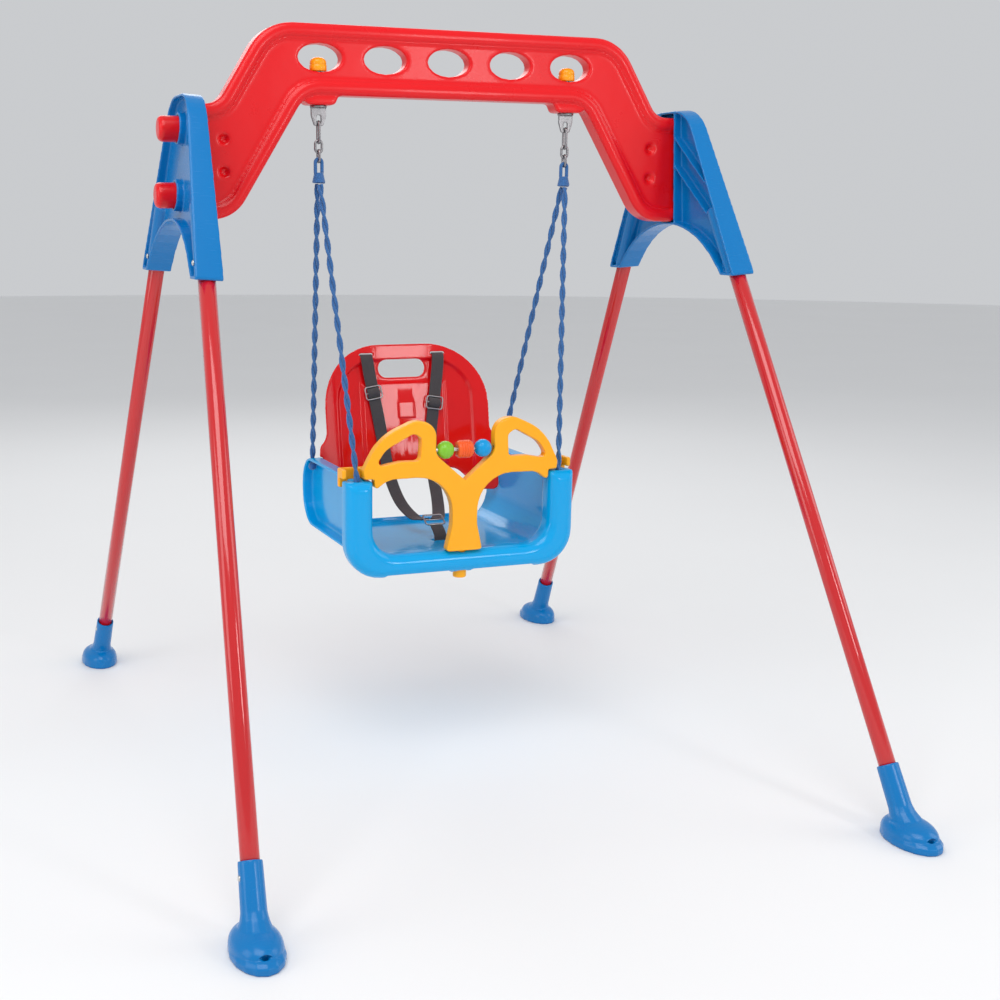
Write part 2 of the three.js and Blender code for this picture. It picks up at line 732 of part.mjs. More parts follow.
// --------------------------------------------------------------------- ropes
// A loop spliced round the last link, with a throat that both ropes leave.
function ropeEye() {
  const { wire } = chainHeights();
  const cord = ROPE_EYE_CORD / 2;
  const top = wire + LINK_WIRE / 2 + CLEARANCE + cord;
  const bend = LINK_WIRE / 2 + CLEARANCE + cord;
  const rows = [];
  const steps = 6;
  const straight = 14;
  for (const end of [0, 1]) {
    for (let i = 0; i <= steps; i += 1) {
      const angle = Math.PI * (end + i / steps);
      const z = top - bend - (end === 0 ? 0 : straight);
      const outward = point(Math.cos(angle), 0, Math.sin(angle));
      const middle = point(HANGER_X, 0, z).addScaledVector(outward, bend);
      const ring = [];
      for (let j = 0; j < 6; j += 1) {
        const turn = (2 * Math.PI * (j + 0.5)) / 6;
        ring.push(middle.clone()
          .addScaledVector(outward, cord * Math.cos(turn))
          .add(point(0, cord * Math.sin(turn), 0)));
      }
      rows.push(ring);
    }
  }
  const loopEnd = top - bend - straight;
  const throat = turned([
    [0, ROPE_START_Z + 2],
    [8, ROPE_START_Z + 2],
    [9.5, ROPE_START_Z + 10],
    [6, loopEnd - 2],
    [0, loopEnd - 2],
  ], HANGER_X, 0, 16);
  return join(closedBody(rows, true), throat);
}

const frontRopeEnd = point(POST_X, FRONT_Y, POST_TOP - 12);
const rearRopeEnd = point(REAR_ROPE_X, REAR_ROPE_Y, SIDE_TOP - SIDE_WALL - REAR_ROPE_DIP);
const ropeStart = (sign) => point(HANGER_X, sign * ROPE_START_Y, ROPE_START_Z);

function tautRope(from, to) {
  const section = new THREE.Shape();
  section.absarc(0, 0, ROPE_DIAMETER / 2, 0, 2 * Math.PI);
  const path = new THREE.LineCurve3(from, to);
  const steps = 4;
  const geometry = new THREE.ExtrudeGeometry(section, { steps, extrudePath: path, curveSegments: 5 });
  return solid(geometry);
}

const knotDrop = (end, from) => {
  const along = end.clone().sub(from).normalize();
  return end.clone().addScaledVector(along, 7.5);
};

function knot(end, from) {
  return ball(knotDrop(end, from), 7);
}

// ---------------------------------------------------------------------- seat
// One U-shaped section of the bucket: outer edge down, across and up, then back inside.
function seatSection(y, s) {
  const edge = (halfWidth, bottom, top, radius) => {
    const line = [point(halfWidth, y, top)];
    const steps = 8;
    for (let i = 0; i <= steps; i += 1) {
      const angle = (Math.PI / 2) * (i / steps);
      const x = halfWidth - radius + radius * Math.cos(angle);
      line.push(point(x, y, bottom + radius - radius * Math.sin(angle)));
    }
    const mirrored = line.map((p) => p.clone().setX(-p.x)).reverse();
    return [...line, ...mirrored];
  };
  const outer = edge(s.outer, s.bottom, s.top, s.outerRadius);
  const inner = edge(s.inner, s.floor, s.top, s.innerRadius).reverse();
  return [...outer, ...inner];
}

const postOuter = POST_X + POST_WIDTH / 2 + 1;
const postInner = POST_X - POST_WIDTH / 2;
const frontFace = FRONT_Y - RIM_DEPTH / 2;
const rimBack = FRONT_Y + RIM_DEPTH / 2;
const FLOOR_REAR = REAR_Y - 20;

function frontRim() {
  const rim = (dy, shrink) => seatSection(FRONT_Y + dy, {
    outer: postOuter - shrink,
    inner: postInner + shrink,
    bottom: RIM_BOTTOM + shrink,
    floor: RIM_BOTTOM + RIM_HEIGHT - shrink,
    top: POST_TOP - shrink,
    outerRadius: RIM_OUTER_BEND - shrink,
    innerRadius: RIM_INNER_BEND + shrink,
  });
  const half = RIM_DEPTH / 2;
  const nose = [[0, 13], [2, 8.5], [5, 4.5], [9, 1.8], [14, 0]].map(([in_, shrink]) => rim(in_ - half, shrink));
  return loft([...nose, rim(half - 8, 0), rim(half, 3)]);
}

function bucket() {
  const walls = {
    outer: SIDE_X,
    inner: SIDE_X - SIDE_WALL,
    bottom: FLOOR_TOP - FLOOR_WALL,
    floor: FLOOR_TOP,
    top: SIDE_TOP,
    outerRadius: 50,
    innerRadius: 50 - SIDE_WALL,
  };
  const tub = loft([seatSection(rimBack - 4, walls), seatSection(REAR_Y, walls)]);
  const floor = box([-SIDE_X + 44, rimBack - 10, 0], [SIDE_X - 44, FLOOR_REAR, FLOOR_TOP + 1]);
  const sides = alongX(sideOutline(0, FLOOR_TOP - FLOOR_WALL - 10), -300, 300, 4);
  return tub.intersect(join(sides, floor));
}

// The side panels' outline in the YZ plane, rounded at the rear.
function sideOutline(shrink, bottom) {
  return rounded([
    [rimBack - 10, bottom + shrink],
    [REAR_Y - shrink, bottom + shrink, REAR_BEND + 8 - shrink],
    [REAR_Y - shrink, SIDE_TOP - shrink, REAR_BEND - shrink],
    [rimBack - 10, SIDE_TOP - shrink],
  ]);
}

// The flange that stands out from each side panel, round its top, rear and lower edges.
function sideFlange() {
  const outside = alongX(sideOutline(0, EAR_BOTTOM), SIDE_X - SIDE_WALL, SIDE_X + SIDE_FLANGE, 4);
  const inside = sideOutline(SIDE_WALL, EAR_BOTTOM);
  return cut(outside, alongX(inside, SIDE_X, SIDE_X + SIDE_FLANGE + 1, 4));
}

function seatShell() {
  let body = join(frontRim(), bucket());
  const flange = sideFlange();
  body = join(body, flange, mirrorX(flange));
  const lipLow = [-SIDE_X + 44, FLOOR_REAR - 6, FLOOR_TOP - 2];
  const rearLip = box(lipLow, [SIDE_X - 44, FLOOR_REAR, FLOOR_TOP + 8]);
  body = join(body, rearLip);
  const tools = [];
  for (const side of [-1, 1]) {
    const bore = ROPE_DIAMETER / 2 + 1;
    for (const [end, sign] of [[frontRopeEnd, -1], [rearRopeEnd, 1]]) {
      const start = ropeStart(sign);
      const along = end.clone().sub(start).normalize();
      const past = end.clone().addScaledVector(along, 6);
      const before = end.clone().addScaledVector(along, -60);
      for (const p of [past, before]) p.setX(p.x * side);
      tools.push(rod(before, past, bore, 12));
    }
    // The room for the front knot, open to the rear.
    const low = [side * POST_X - 10, FRONT_Y - 10, POST_TOP - 50];
    tools.push(box(low, [side * POST_X + 10, rimBack + 1, POST_TOP - 12]));
  }
  // The notches for the bar's hooks.
  tools.push(hookRoom(), mirrorX(hookRoom()));
  // The peg's hole, the crotch strap's slot and the hollows under the front rim.
  const peg = PEG_DIAMETER / 2 + CLEARANCE;
  tools.push(rod(point(0, FRONT_Y, 0), point(0, FRONT_Y, FLOOR_TOP + 30), peg, 20));
  const slotY = STRAP_SLOT_Y;
  tools.push(box([-15, slotY - 3, 0], [15, slotY + 3, FLOOR_TOP + 5]));
  const hollow = box([18, FRONT_Y - 13, 0], [128, FRONT_Y + 13, RIM_BOTTOM + RIM_HEIGHT - 9]);
  tools.push(hollow, mirrorX(hollow));
  return cut(body, ...tools);
}

function mirrorX(shape) {
  const mesh = shape.getMesh();
  const geometry = new THREE.BufferGeometry();
  const flat = new Float32Array(mesh.vertProperties);
  for (let i = 0; i < flat.length; i += 3) flat[i] *= -1;
  geometry.setAttribute("position", new THREE.BufferAttribute(flat, 3));
  geometry.setIndex(new THREE.BufferAttribute(mesh.triVerts.slice().reverse(), 1));
  return solid(geometry);
}

// ------------------------------------------------------------------ backrest
// The depth of the backrest's front face at a place across and up.
function backFace(x, z) {
  const lean = BACK_LEAN * (z - BACK_BASE_Z);
  const wrap = BACK_WRAP * Math.pow(Math.min(Math.abs(x) / BACK_HALF, 1.1), 3);
  return BACK_Y + lean - wrap;
}

function backrest() {
  const width = 2 * (SIDE_X + 8);
  const low = 380;
  const skin = plate((u, v) => {
    const x = (u - 0.5) * width;
    const z = low + v * (BACK_TOP + 10 - low);
    return point(x, backFace(x, z), z);
  }, BACK_THICK, 14, 3);
  const inside = SIDE_X - SIDE_WALL - CLEARANCE;
  const shoulder = SIDE_TOP + CLEARANCE;
  const outline = bothSides([
    [92, 436, 30],
    [128, 398, 14],
    [inside, 398, 12],
    [inside, shoulder],
    [SIDE_X + 1, shoulder, 3],
    [SIDE_X - 1, shoulder + 18, 12],
    [BACK_HALF, 500, 26],
    [BACK_HALF, BACK_TOP - 30, 100],
    [62, BACK_TOP, 118],
  ]);
  const slot = rounded([[-43, 595, 15.4], [43, 595, 15.4], [43, 626, 15.4], [-43, 626, 15.4]]);
  const slots = [-66, 66].map((x) => alongY(rounded([
    [x - 13, 634, 1],
    [x + 13, 634, 1],
    [x + 13, 638, 1],
    [x - 13, 638, 1],
  ]), 0, 400));
  return cut(skin.intersect(alongY(rounded(outline), 0, 400, 4)), alongY(slot, 0, 400), ...slots);
}

// ---------------------------------------------------------------- safety bar
const HOOK_LOW = POST_TOP - 12;
const HOOK_OVER = SIDE_TOP + 1;
const HOOK_HEIGHT = 15;
const HOOK_BACK = rimBack + 3;
const HOOK_THICK = 9;
const HOOK_OUT = POST_X + 24;

const barY = (x) => FRONT_Y - BAR_BOW * (1 - Math.pow(Math.min(Math.abs(x) / POST_X, 1), 2));

function safetyBar() {
  const outline = bothSides([
    [PEG_DIAMETER / 2 + 20, RIM_BOTTOM + RIM_HEIGHT + CLEARANCE, 4],
    [21, 392, 70],
    [21.5, 472, 58],
    [128, 470, 40],
    [POST_X - POST_WIDTH / 2 - 2, 452, 4],
    [POST_X - POST_WIDTH / 2 - 2, HOOK_OVER],
    [POST_X - 8, HOOK_OVER, 3],
    [166, 484, 8],
    [140, 536, 90],
    [84, 561, 30],
    [49, 556, 26],
    [50, 506, 20],
    [0.01, 463, 0],
  ]);
  const hole = rounded([
    [75, 497, 7],
    [108, 497, 60],
    [148, 489, 6],
    [132, 516, 40],
    [86, 541, 10],
    [73, 533, 9],
  ]);
  const deep = alongY(rounded(outline), -200, 0, 4);
  const front = plate((u, v) => {
    const x = (u - 0.5) * 2 * (POST_X + 6);
    return point(x, barY(x) - BAR_THICK / 2, 330 + v * 240);
  }, BAR_THICK, 16, 2);
  let body = front.intersect(deep);
  const holes = [alongY(hole, -200, 0), mirrorX(alongY(hole, -200, 0))];
  body = cut(body, ...holes);

  const peg = PEG_DIAMETER / 2;
  const rimTop = RIM_BOTTOM + RIM_HEIGHT + CLEARANCE;
  const at = (z) => point(0, FRONT_Y, z);
  const foot_ = rod(at(rimTop), at(rimTop + 26), RIM_DEPTH / 2 - 3, 20, BAR_THICK / 2 - 1);
  body = join(body, foot_, rod(at(RIM_BOTTOM - 10), at(rimTop + 1), peg, 20, peg));
  return join(body, ...ropeHooks());
}

// Each end of the bar reaches back over the post and round behind the rope.
function ropeHooks() {
  const high = HOOK_OVER + HOOK_HEIGHT;
  const rear = HOOK_BACK + HOOK_THICK;
  const inner = POST_X - ROPE_DIAMETER / 2 - 2.5;
  const hook = join(
    box([inner - 14, FRONT_Y - BAR_THICK / 2 + 1, HOOK_OVER], [inner, rear, high]),
    box([inner - 14, HOOK_BACK, HOOK_LOW], [HOOK_OUT, rear, high]),
    box([HOOK_OUT - 7, FRONT_Y + 4, HOOK_OVER], [HOOK_OUT, rear, high]),
  );
  return [hook, mirrorX(hook)];
}

// The notch that a hook drops into, behind each post.
function hookRoom() {
  const low = [POST_X - 40, rimBack - 3, HOOK_LOW - 1];
  const room = box(low, [HOOK_OUT + 1, HOOK_BACK + HOOK_THICK + 1.5, POST_TOP + 30]);
  const post = box([0, -200, 0], [300, rimBack, POST_TOP + 40]);
  return cut(room, post);
}

function beadRod() {
  const reach = 48 + 8;
  const at = (x) => point(x, barY(0), BEAD_Z);
  return rod(at(-reach), at(reach), BEAD_ROD / 2, 12);
}

function rodRoom() {
  const at = (x) => point(x, barY(0), BEAD_Z);
  return rod(at(-48 - 8 - CLEARANCE), at(48 + 8 + CLEARANCE), BEAD_ROD / 2 + CLEARANCE, 12);
}

function bead(x) {
  const centre = point(x, barY(0), BEAD_Z);
  const side = BEAD_RADIUS + 5;
  return cut(ball(centre, BEAD_RADIUS, 16), beadBore(side, x));
}

function roller(x) {
  const half = BEAD_RADIUS * 0.86;
  const at = (shift) => point(x + shift, barY(0), BEAD_Z);
  const body = rod(at(-half), at(half), BEAD_RADIUS, 18);
  return cut(body, beadBore(half + 5, x));
}

function beadBore(reach, x) {
  const at = (shift) => point(x + shift, barY(0), BEAD_Z);
  return rod(at(-reach), at(reach), BEAD_ROD / 2 + CLEARANCE, 12);
}

// ------------------------------------------------------------------- harness
// A flat strap along a smooth curve; across is the direction of its width.
function strap(points, across = X, count = 24) {
  const path = new THREE.CatmullRomCurve3(points.map((p) => point(...p)), false, "centripetal");
  const rows = [];
  for (let i = 0; i <= count; i += 1) {
    const here = path.getPointAt(i / count);
    const along = path.getTangentAt(i / count);
    const wide = across.clone().addScaledVector(along, -across.dot(along)).normalize();
    const out = along.clone().cross(wide);
    const [w, t] = [STRAP_WIDTH / 2, STRAP_THICK / 2];
    rows.push([[w, t], [-w, t], [-w, -t], [w, -t]].map(([a, b]) =>
      here.clone().addScaledVector(wide, a).addScaledVector(out, b)));
  }
  return loft(rows);
}

// How far a strap on the backrest stands off its face.
const STRAP_LIE = 3;
const onBack = (x, z, off = STRAP_LIE) => [x, backFace(x, z) - off, z];

function shoulderStrap() {
  return strap([
    onBack(66, 628),
    onBack(62, 600),
    onBack(52, 540),
    onBack(44, 485),
    [40, SEAT_Y + 128, 430],
    [34, SEAT_Y + 92, 392],
    [22, SEAT_Y + 56, 372],
    [13, SEAT_Y + 34, 370],
  ]);
}

function crotchStrap() {
  return strap([
    [0, STRAP_SLOT_Y, FLOOR_TOP - 8],
    [0, STRAP_SLOT_Y + 0.2, FLOOR_TOP + 4],
    [0, STRAP_SLOT_Y + 7, FLOOR_TOP + 12],
    [0, STRAP_SLOT_Y + 17, FLOOR_TOP + 17],
  ], X, 10);
}

// A flat wire frame with a middle bar, lying on a strap.
function slideFrame(width, height) {
  const [w, h, wire] = [width / 2, height / 2, 2.6];
  const outer = alongY(rounded([[-w, -h, 3], [w, -h, 3], [w, h, 3], [-w, h, 3]]), -1.2, 1.2, 3);
  const window = (low, high) => alongY(rounded([
    [-w + wire, low, 1],
    [w - wire, low, 1],
    [w - wire, high, 1],
    [-w + wire, high, 1],
  ]), -5, 5, 2);
  return cut(outer, window(-h + wire, -wire / 2), window(wire / 2, h - wire));
}

// ------------------------------------------------------------------ assembly
const swing = new THREE.Group();

swing.add(piece("crossbeam", crossbeam(), redPlastic));

for (const [side, mirror] of [["left", -1], ["right", 1]]) {
  const half = new THREE.Group();
  half.scale.x = mirror;
  swing.add(half);
  const plane = inLegPlane(new THREE.Group());
  half.add(plane);
  plane.add(piece(`bracket_${side}`, bracket(), darkBlue));
  for (const [end, turn] of [["front", -1], ["back", 1]]) {
    const leg = new THREE.Group();
    leg.scale.y = turn;
    plane.add(leg);
    leg.add(piece(`leg_${end}_${side}`, drilled(legTube()), paint));
    leg.add(piece(`foot_${end}_${side}`, foot(), darkBlue));
    const socket = LEG_DIAMETER / 2 + CLEARANCE + FOOT_SOCKET_WALL;
    leg.add(piece(`foot_screw_${end}_${side}`, screw(FOOT_SOCKET_TOP - SCREW_DROP, socket), steel));
    const sleeve = screw(BRACKET_MOUTH + SCREW_DROP + 4, BRACKET_DEPTH / 2 - 1.5);
    leg.add(piece(`sleeve_screw_${end}_${side}`, sleeve, steel));
  }
  half.add(piece(`hanger_cap_${side}`, hangerCap(), yellow));
  half.add(piece(`eyebolt_${side}`, eyebolt(), steel));
  half.add(...chainPieces(side));
  half.add(piece(`rope_eye_${side}`, ropeEye(), rope));
  half.add(piece(`rope_front_${side}`, tautRope(ropeStart(-1), frontRopeEnd), rope));
  half.add(piece(`rope_back_${side}`, tautRope(ropeStart(1), rearRopeEnd), rope));
  half.add(piece(`knot_front_${side}`, knot(frontRopeEnd, ropeStart(-1)), rope));
  half.add(piece(`knot_back_${side}`, knot(rearRopeEnd, ropeStart(1)), rope));
  half.add(piece(`shoulder_strap_${side}`, shoulderStrap(), webbing));
  const adjuster = piece(`strap_adjuster_${side}`, slideFrame(30, 22), steel);
  const height = ADJUSTER_HEIGHTS[side];
  adjuster.position.set(...onBack(44 + 0.154 * (height - 485), height, STRAP_LIE + 2.6));
  adjuster.rotation.x = -Math.atan(BACK_LEAN);
  half.add(adjuster);
}

swing.add(piece("seat_shell", seatShell(), skyBlue));
swing.add(piece("backrest", backrest(), redPlastic));
swing.add(piece("safety_bar", cut(safetyBar(), rodRoom()), yellow));
swing.add(piece("bead_rod", beadRod(), steel));
swing.add(piece("bead_green", bead(-BEAD_SPACING), green));
swing.add(piece("bead_roller", roller(0), orange));
swing.add(piece("bead_blue", bead(BEAD_SPACING), skyBlue));
swing.add(piece("crotch_strap", crotchStrap(), webbing));
const buckle = piece("crotch_buckle", slideFrame(34, 24), steel);
buckle.position.set(0, STRAP_SLOT_Y + 31, FLOOR_TOP + 27);
buckle.rotation.x = -Math.PI / 3;
swing.add(buckle);

export default swing;
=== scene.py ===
# %% [markdown]
# # A toddler's garden swing
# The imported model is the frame: it fixes every place and size. Blender adds
# what a person would judge the toy by, which is its rounded mouldings, its
# twisted ropes, its woven straps and its finishes.

# %% Load the frame
import json
import math

import bmesh
import bpy
import numpy as np
from mathutils import Matrix, Vector

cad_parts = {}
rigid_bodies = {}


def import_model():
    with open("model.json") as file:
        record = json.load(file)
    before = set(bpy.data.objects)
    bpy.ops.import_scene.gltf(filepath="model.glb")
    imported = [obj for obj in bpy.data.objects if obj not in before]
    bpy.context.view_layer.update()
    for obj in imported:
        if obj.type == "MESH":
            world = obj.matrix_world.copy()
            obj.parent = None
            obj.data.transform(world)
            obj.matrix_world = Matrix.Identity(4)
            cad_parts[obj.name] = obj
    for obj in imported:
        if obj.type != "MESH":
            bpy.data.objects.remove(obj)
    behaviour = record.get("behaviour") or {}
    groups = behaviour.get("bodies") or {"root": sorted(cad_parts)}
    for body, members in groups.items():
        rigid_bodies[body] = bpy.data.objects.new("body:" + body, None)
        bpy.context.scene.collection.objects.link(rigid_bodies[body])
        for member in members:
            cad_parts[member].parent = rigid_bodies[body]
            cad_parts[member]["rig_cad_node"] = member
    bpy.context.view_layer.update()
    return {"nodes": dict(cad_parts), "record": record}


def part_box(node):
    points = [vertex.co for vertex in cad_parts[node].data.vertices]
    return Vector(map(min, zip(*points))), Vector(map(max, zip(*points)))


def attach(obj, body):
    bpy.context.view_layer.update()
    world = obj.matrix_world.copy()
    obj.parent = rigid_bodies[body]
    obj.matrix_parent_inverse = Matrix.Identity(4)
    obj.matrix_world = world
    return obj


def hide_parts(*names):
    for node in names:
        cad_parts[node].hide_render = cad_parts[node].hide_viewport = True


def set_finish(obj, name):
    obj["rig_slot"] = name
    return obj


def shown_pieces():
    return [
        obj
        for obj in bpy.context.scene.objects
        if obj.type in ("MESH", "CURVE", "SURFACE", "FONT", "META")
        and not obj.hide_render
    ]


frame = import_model()
nodes = frame["nodes"]

# %% [markdown]
# ## Camera
# A swing is looked at from about a child's eye height to an adult's chest, a
# little from one side, so that both A-frames and the seat's face are seen. The
# lens is a mild telephoto, which keeps the legs from splaying too much. The
# shift slides the picture without turning the camera, so that uprights lean
# only as much as the tilt makes them.

# %% Camera
CAMERA_PLACE = (-0.868, -2.156, 0.870)
CAMERA_YAW = 20.26  # degrees to the right of +Y
CAMERA_PITCH = -12.35
CAMERA_ROLL = 0.3
CAMERA_LENS = 51.66

camera_data = bpy.data.cameras.new("camera")
camera_data.lens = CAMERA_LENS
camera_data.sensor_width = 36
camera_data.shift_x = 0.10
camera_data.shift_y = 0.03
camera = bpy.data.objects.new("camera", camera_data)
bpy.context.scene.collection.objects.link(camera)
heading = Matrix.Rotation(math.radians(-CAMERA_YAW), 4, "Z")
tilt = Matrix.Rotation(math.radians(90 + CAMERA_PITCH), 4, "X")
roll = Matrix.Rotation(math.radians(CAMERA_ROLL), 4, "Z")
camera.matrix_world = Matrix.Translation(CAMERA_PLACE) @ heading @ tilt @ roll
bpy.context.scene.camera = camera
print("camera stands", round(Vector(CAMERA_PLACE).length, 2), "m from the origin")

# %% [markdown]
# ## Helpers for meshes
# Most pieces here are swept or turned: a ring of points is carried along a
# line and joined to the next ring. One helper that skins a list of rings
# serves for ropes, straps, tubes, links and beads.


# %% Skin a list of rings
def skin(name, rings, closed=False, caps=True):
    mesh = bpy.data.meshes.new(name)
    build = bmesh.new()
    rows = [[build.verts.new(point) for point in ring] for ring in rings]
    count = len(rows[0])
    pairs = list(zip(rows, rows[1:]))
    if closed:
        pairs.append((rows[-1], rows[0]))
    for here, ahead in pairs:
        for i in range(count):
            j = (i + 1) % count
            build.faces.new((here[i], here[j], ahead[j], ahead[i]))
    if caps and not closed:
        build.faces.new(list(reversed(rows[0])))
        build.faces.new(rows[-1])
    bmesh.ops.recalc_face_normals(build, faces=build.faces)
    build.to_mesh(mesh)
    build.free()
    return smooth_object(name, mesh)


def smooth_object(name, mesh):
    for polygon in mesh.polygons:
        polygon.use_smooth = True
    piece = bpy.data.objects.new(name, mesh)
    bpy.context.scene.collection.objects.link(piece)
    return piece


def joined(name, pieces):
    """One object made of several meshes."""
    build = bmesh.new()
    for piece in pieces:
        build.from_mesh(piece.data)
        mesh = piece.data
        bpy.data.objects.remove(piece)
        bpy.data.meshes.remove(mesh)
    whole = bpy.data.meshes.new(name)
    build.to_mesh(whole)
    build.free()
    return smooth_object(name, whole)


def round_angles(sides):
    """The angles of the points of a circle."""
    return [2 * math.pi * j / sides for j in range(sides)]


def across_axes(direction):
    """Two directions square to a line, the first as level as it can be."""
    along = Vector(direction).normalized()
    side = along.cross(Vector((0, 0, 1)))
    if side.length < 0.01:
        side = Vector((1, 0, 0))
    side.normalize()
    return side, side.cross(along).normalized()


def place(piece, body, slot, *replaced):
    """Hides the parts a new piece stands for, and says what it rides on and takes its finish
    from.
    """
    if replaced:
        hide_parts(*replaced)
    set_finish(piece, slot)
    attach(piece, body)
    return piece


# %% [markdown]
# ## Ropes
# Four ropes carry the seat, two from each hanger. Each is two cords laid round
# each other, so it looks wide and narrow by turns down its length. A curve
# with a round bevel would give one plain tube. Two strands swept on a helix
# give the real outline, and a shallow ripple round each strand stands for the
# yarns in it. The child's weight or the seat's keeps them straight.

# %% Rope routes, in metres
HANGER_X = 0.2072
ROPE_TOP_Z = 0.916
ROPE_PITCH = 0.060  # one full turn of the two strands
ROPE_ENDS = {
    "front": ((0.172, -0.082, 0.456), -0.006),
    "back": ((0.175, 0.152, 0.4605), 0.006),
}
STRAND_RADIUS = 0.0025
STRAND_STEP = 0.0026
YARNS = 3  # ripples round a strand
YARN_DEPTH = 0.09  # as a share of the strand's radius
YARN_TWIST = 3.2  # turns of the yarns for each turn of the strands


def strand(name, start, end, phase):
    """One of a rope's two cords: a tube on a helix about the rope's line."""
    start, end = Vector(start), Vector(end)
    length = (end - start).length
    along = (end - start).normalized()
    side, up = across_axes(along)
    steps = int(length / STRAND_STEP)
    rings = []
    for i in range(steps + 1):
        travelled = length * i / steps
        angle = phase + 2 * math.pi * travelled / ROPE_PITCH
        centre = start + along * travelled
        centre += (side * math.cos(angle) + up * math.sin(angle)) * STRAND_RADIUS
        ring = []
        for turn in round_angles(12):
            ripple = 1 + YARN_DEPTH * math.cos(YARNS * (turn - angle * YARN_TWIST))
            reach = side * math.cos(turn) + up * math.sin(turn)
            ring.append(centre + reach * STRAND_RADIUS * ripple)
        rings.append(ring)
    return skin(name, rings)


for side_name, side in (("left", -1), ("right", 1)):
    for end_name, (end, top_y) in ROPE_ENDS.items():
        top = Vector((side * HANGER_X, top_y, ROPE_TOP_Z))
        bottom = Vector((side * end[0], end[1], end[2]))
        name = f"swing_rope_{end_name}_{side_name}"
        strands = [strand(f"{name}_{k}", top, bottom, k * math.pi + side) for k in (0, 1)]
        rope = joined(name, strands)
        place(rope, "seat", "rope_blue", f"rope_{end_name}_{side_name}")
        length = (top - bottom).length
        route = [tuple(top.lerp(bottom, i / 20)) for i in range(21)]
        print(name, round(length, 3), "m")

# %% [markdown]
# ## Spliced eyes
# At the top of each pair the rope passes through the last chain link and back
# on itself, and thread is wound round the join. The loop is one bent strand.
# The winding is a thin cord wound in a close helix on an oval core.

# %% Spliced eyes
EYE_CORD = 0.0056
THREAD = 0.0016


def bent_tube(name, points, radius, sides=12, closed=True):
    """A round tube along a loop that lies in a plane y = constant."""
    rings = []
    count = len(points)
    for i, point in enumerate(points):
        ahead = points[(i + 1) % count] if closed or i + 1 < count else point
        behind = points[i - 1] if closed or i > 0 else point
        along = (ahead - behind).normalized()
        normal = Vector((0, 1, 0))
        outward = normal.cross(along).normalized()
        rings.append([
            point + (outward * math.cos(a) + normal * math.sin(a)) * radius
            for a in round_angles(sides)
        ])
    return skin(name, rings, closed=closed)


def stadium(centre_x, top, bend, straight, steps=14):
    """The middle line of a loop with two half-round ends, in the XZ plane."""
    points = []
    for end, drop in ((0, 0), (1, straight)):
        for i in range(steps + 1):
            angle = math.pi * (end + i / steps)
            z = top - bend - drop + bend * math.sin(angle)
            points.append(Vector((centre_x + bend * math.cos(angle), 0, z)))
    return points


for side_name, side in (("left", -1), ("right", 1)):
    low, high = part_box(f"rope_eye_{side_name}")
    x = side * HANGER_X
    cord_radius = EYE_CORD / 2
    bend = 0.0052
    loop = bent_tube("loop", stadium(x, high.z - cord_radius, bend, 0.014), cord_radius)
    turns = 8
    bottom, top = low.z + 0.001, low.z + 0.0145
    points = []
    for i in range(turns * 16 + 1):
        share = i / (turns * 16)
        angle = 2 * math.pi * turns * share
        wide = 0.0088 - 0.003 * share
        deep = 0.0082 - 0.0035 * share
        z = bottom + (top - bottom) * share
        points.append(Vector((x + wide * math.cos(angle), deep * math.sin(angle), z)))
    rings = []
    for i, point in enumerate(points):
        along = (points[min(i + 1, len(points) - 1)] - points[max(i - 1, 0)]).normalized()
        a, b = across_axes(along)
        rings.append([
            point + (a * math.cos(t) + b * math.sin(t)) * THREAD for t in round_angles(8)
        ])
    winding = skin("winding", rings)
    core_rings = []
    for share in (0, 0.25, 0.5, 0.75, 1):
        z = bottom + (top - bottom) * share
        wide, deep = 0.0086 - 0.003 * share, 0.008 - 0.0035 * share
        core_rings.append([
            (x + wide * math.cos(t), deep * math.sin(t), z) for t in round_angles(20)
        ])
    core = skin("core", core_rings)
    eye = joined(f"spliced_eye_{side_name}", [loop, winding, core])
    place(eye, "seat", "rope_blue", f"rope_eye_{side_name}")
    print(eye.name, "has", turns, "turns of thread")

# %% [markdown]
# ## Rounded mouldings
# The beam, brackets, feet, seat, backrest and bar are moulded plastic, and a
# mould never makes a sharp edge. Bevels on boolean solids tangle where many
# edges meet. So each solid is copied, rebuilt as an even skin of small faces,
# and smoothed a few times: every edge, inside and out, gets the same soft
# radius. Flat faces stay flat, so the piece keeps its size. The skin is then
# thinned where it is flat.


# %% Round a moulding
def evaluated(piece):
    """Replaces a piece's mesh by the result of its modifiers."""
    graph = bpy.context.evaluated_depsgraph_get()
    result = bpy.data.meshes.new_from_object(piece.evaluated_get(graph))
    old = piece.data
    piece.modifiers.clear()
    piece.data = result
    bpy.data.meshes.remove(old)
    for polygon in result.polygons:
        polygon.use_smooth = True


def softened(piece, passes):
    """Moves each point of the skin towards its neighbours, a few times over."""
    soften = piece.modifiers.new("soft_edges", "SMOOTH")
    soften.factor = 0.5
    soften.iterations = passes
    evaluated(piece)
    return piece


def rounded_copy(name, node, grain, passes):
    """A copy of a solid as an even skin of faces of size grain, softened."""
    piece = bpy.data.objects.new(name, nodes[node].data.copy())
    piece.data.materials.clear()
    bpy.context.scene.collection.objects.link(piece)
    remesh = piece.modifiers.new("even_skin", "REMESH")
    remesh.mode = "VOXEL"
    remesh.voxel_size = grain
    return softened(piece, passes)


def thinned(piece, share):
    """Keeps this share of the faces, and lets go of those on flat parts first."""
    thin = piece.modifiers.new("thin", "DECIMATE")
    thin.ratio = share
    evaluated(piece)
    return piece


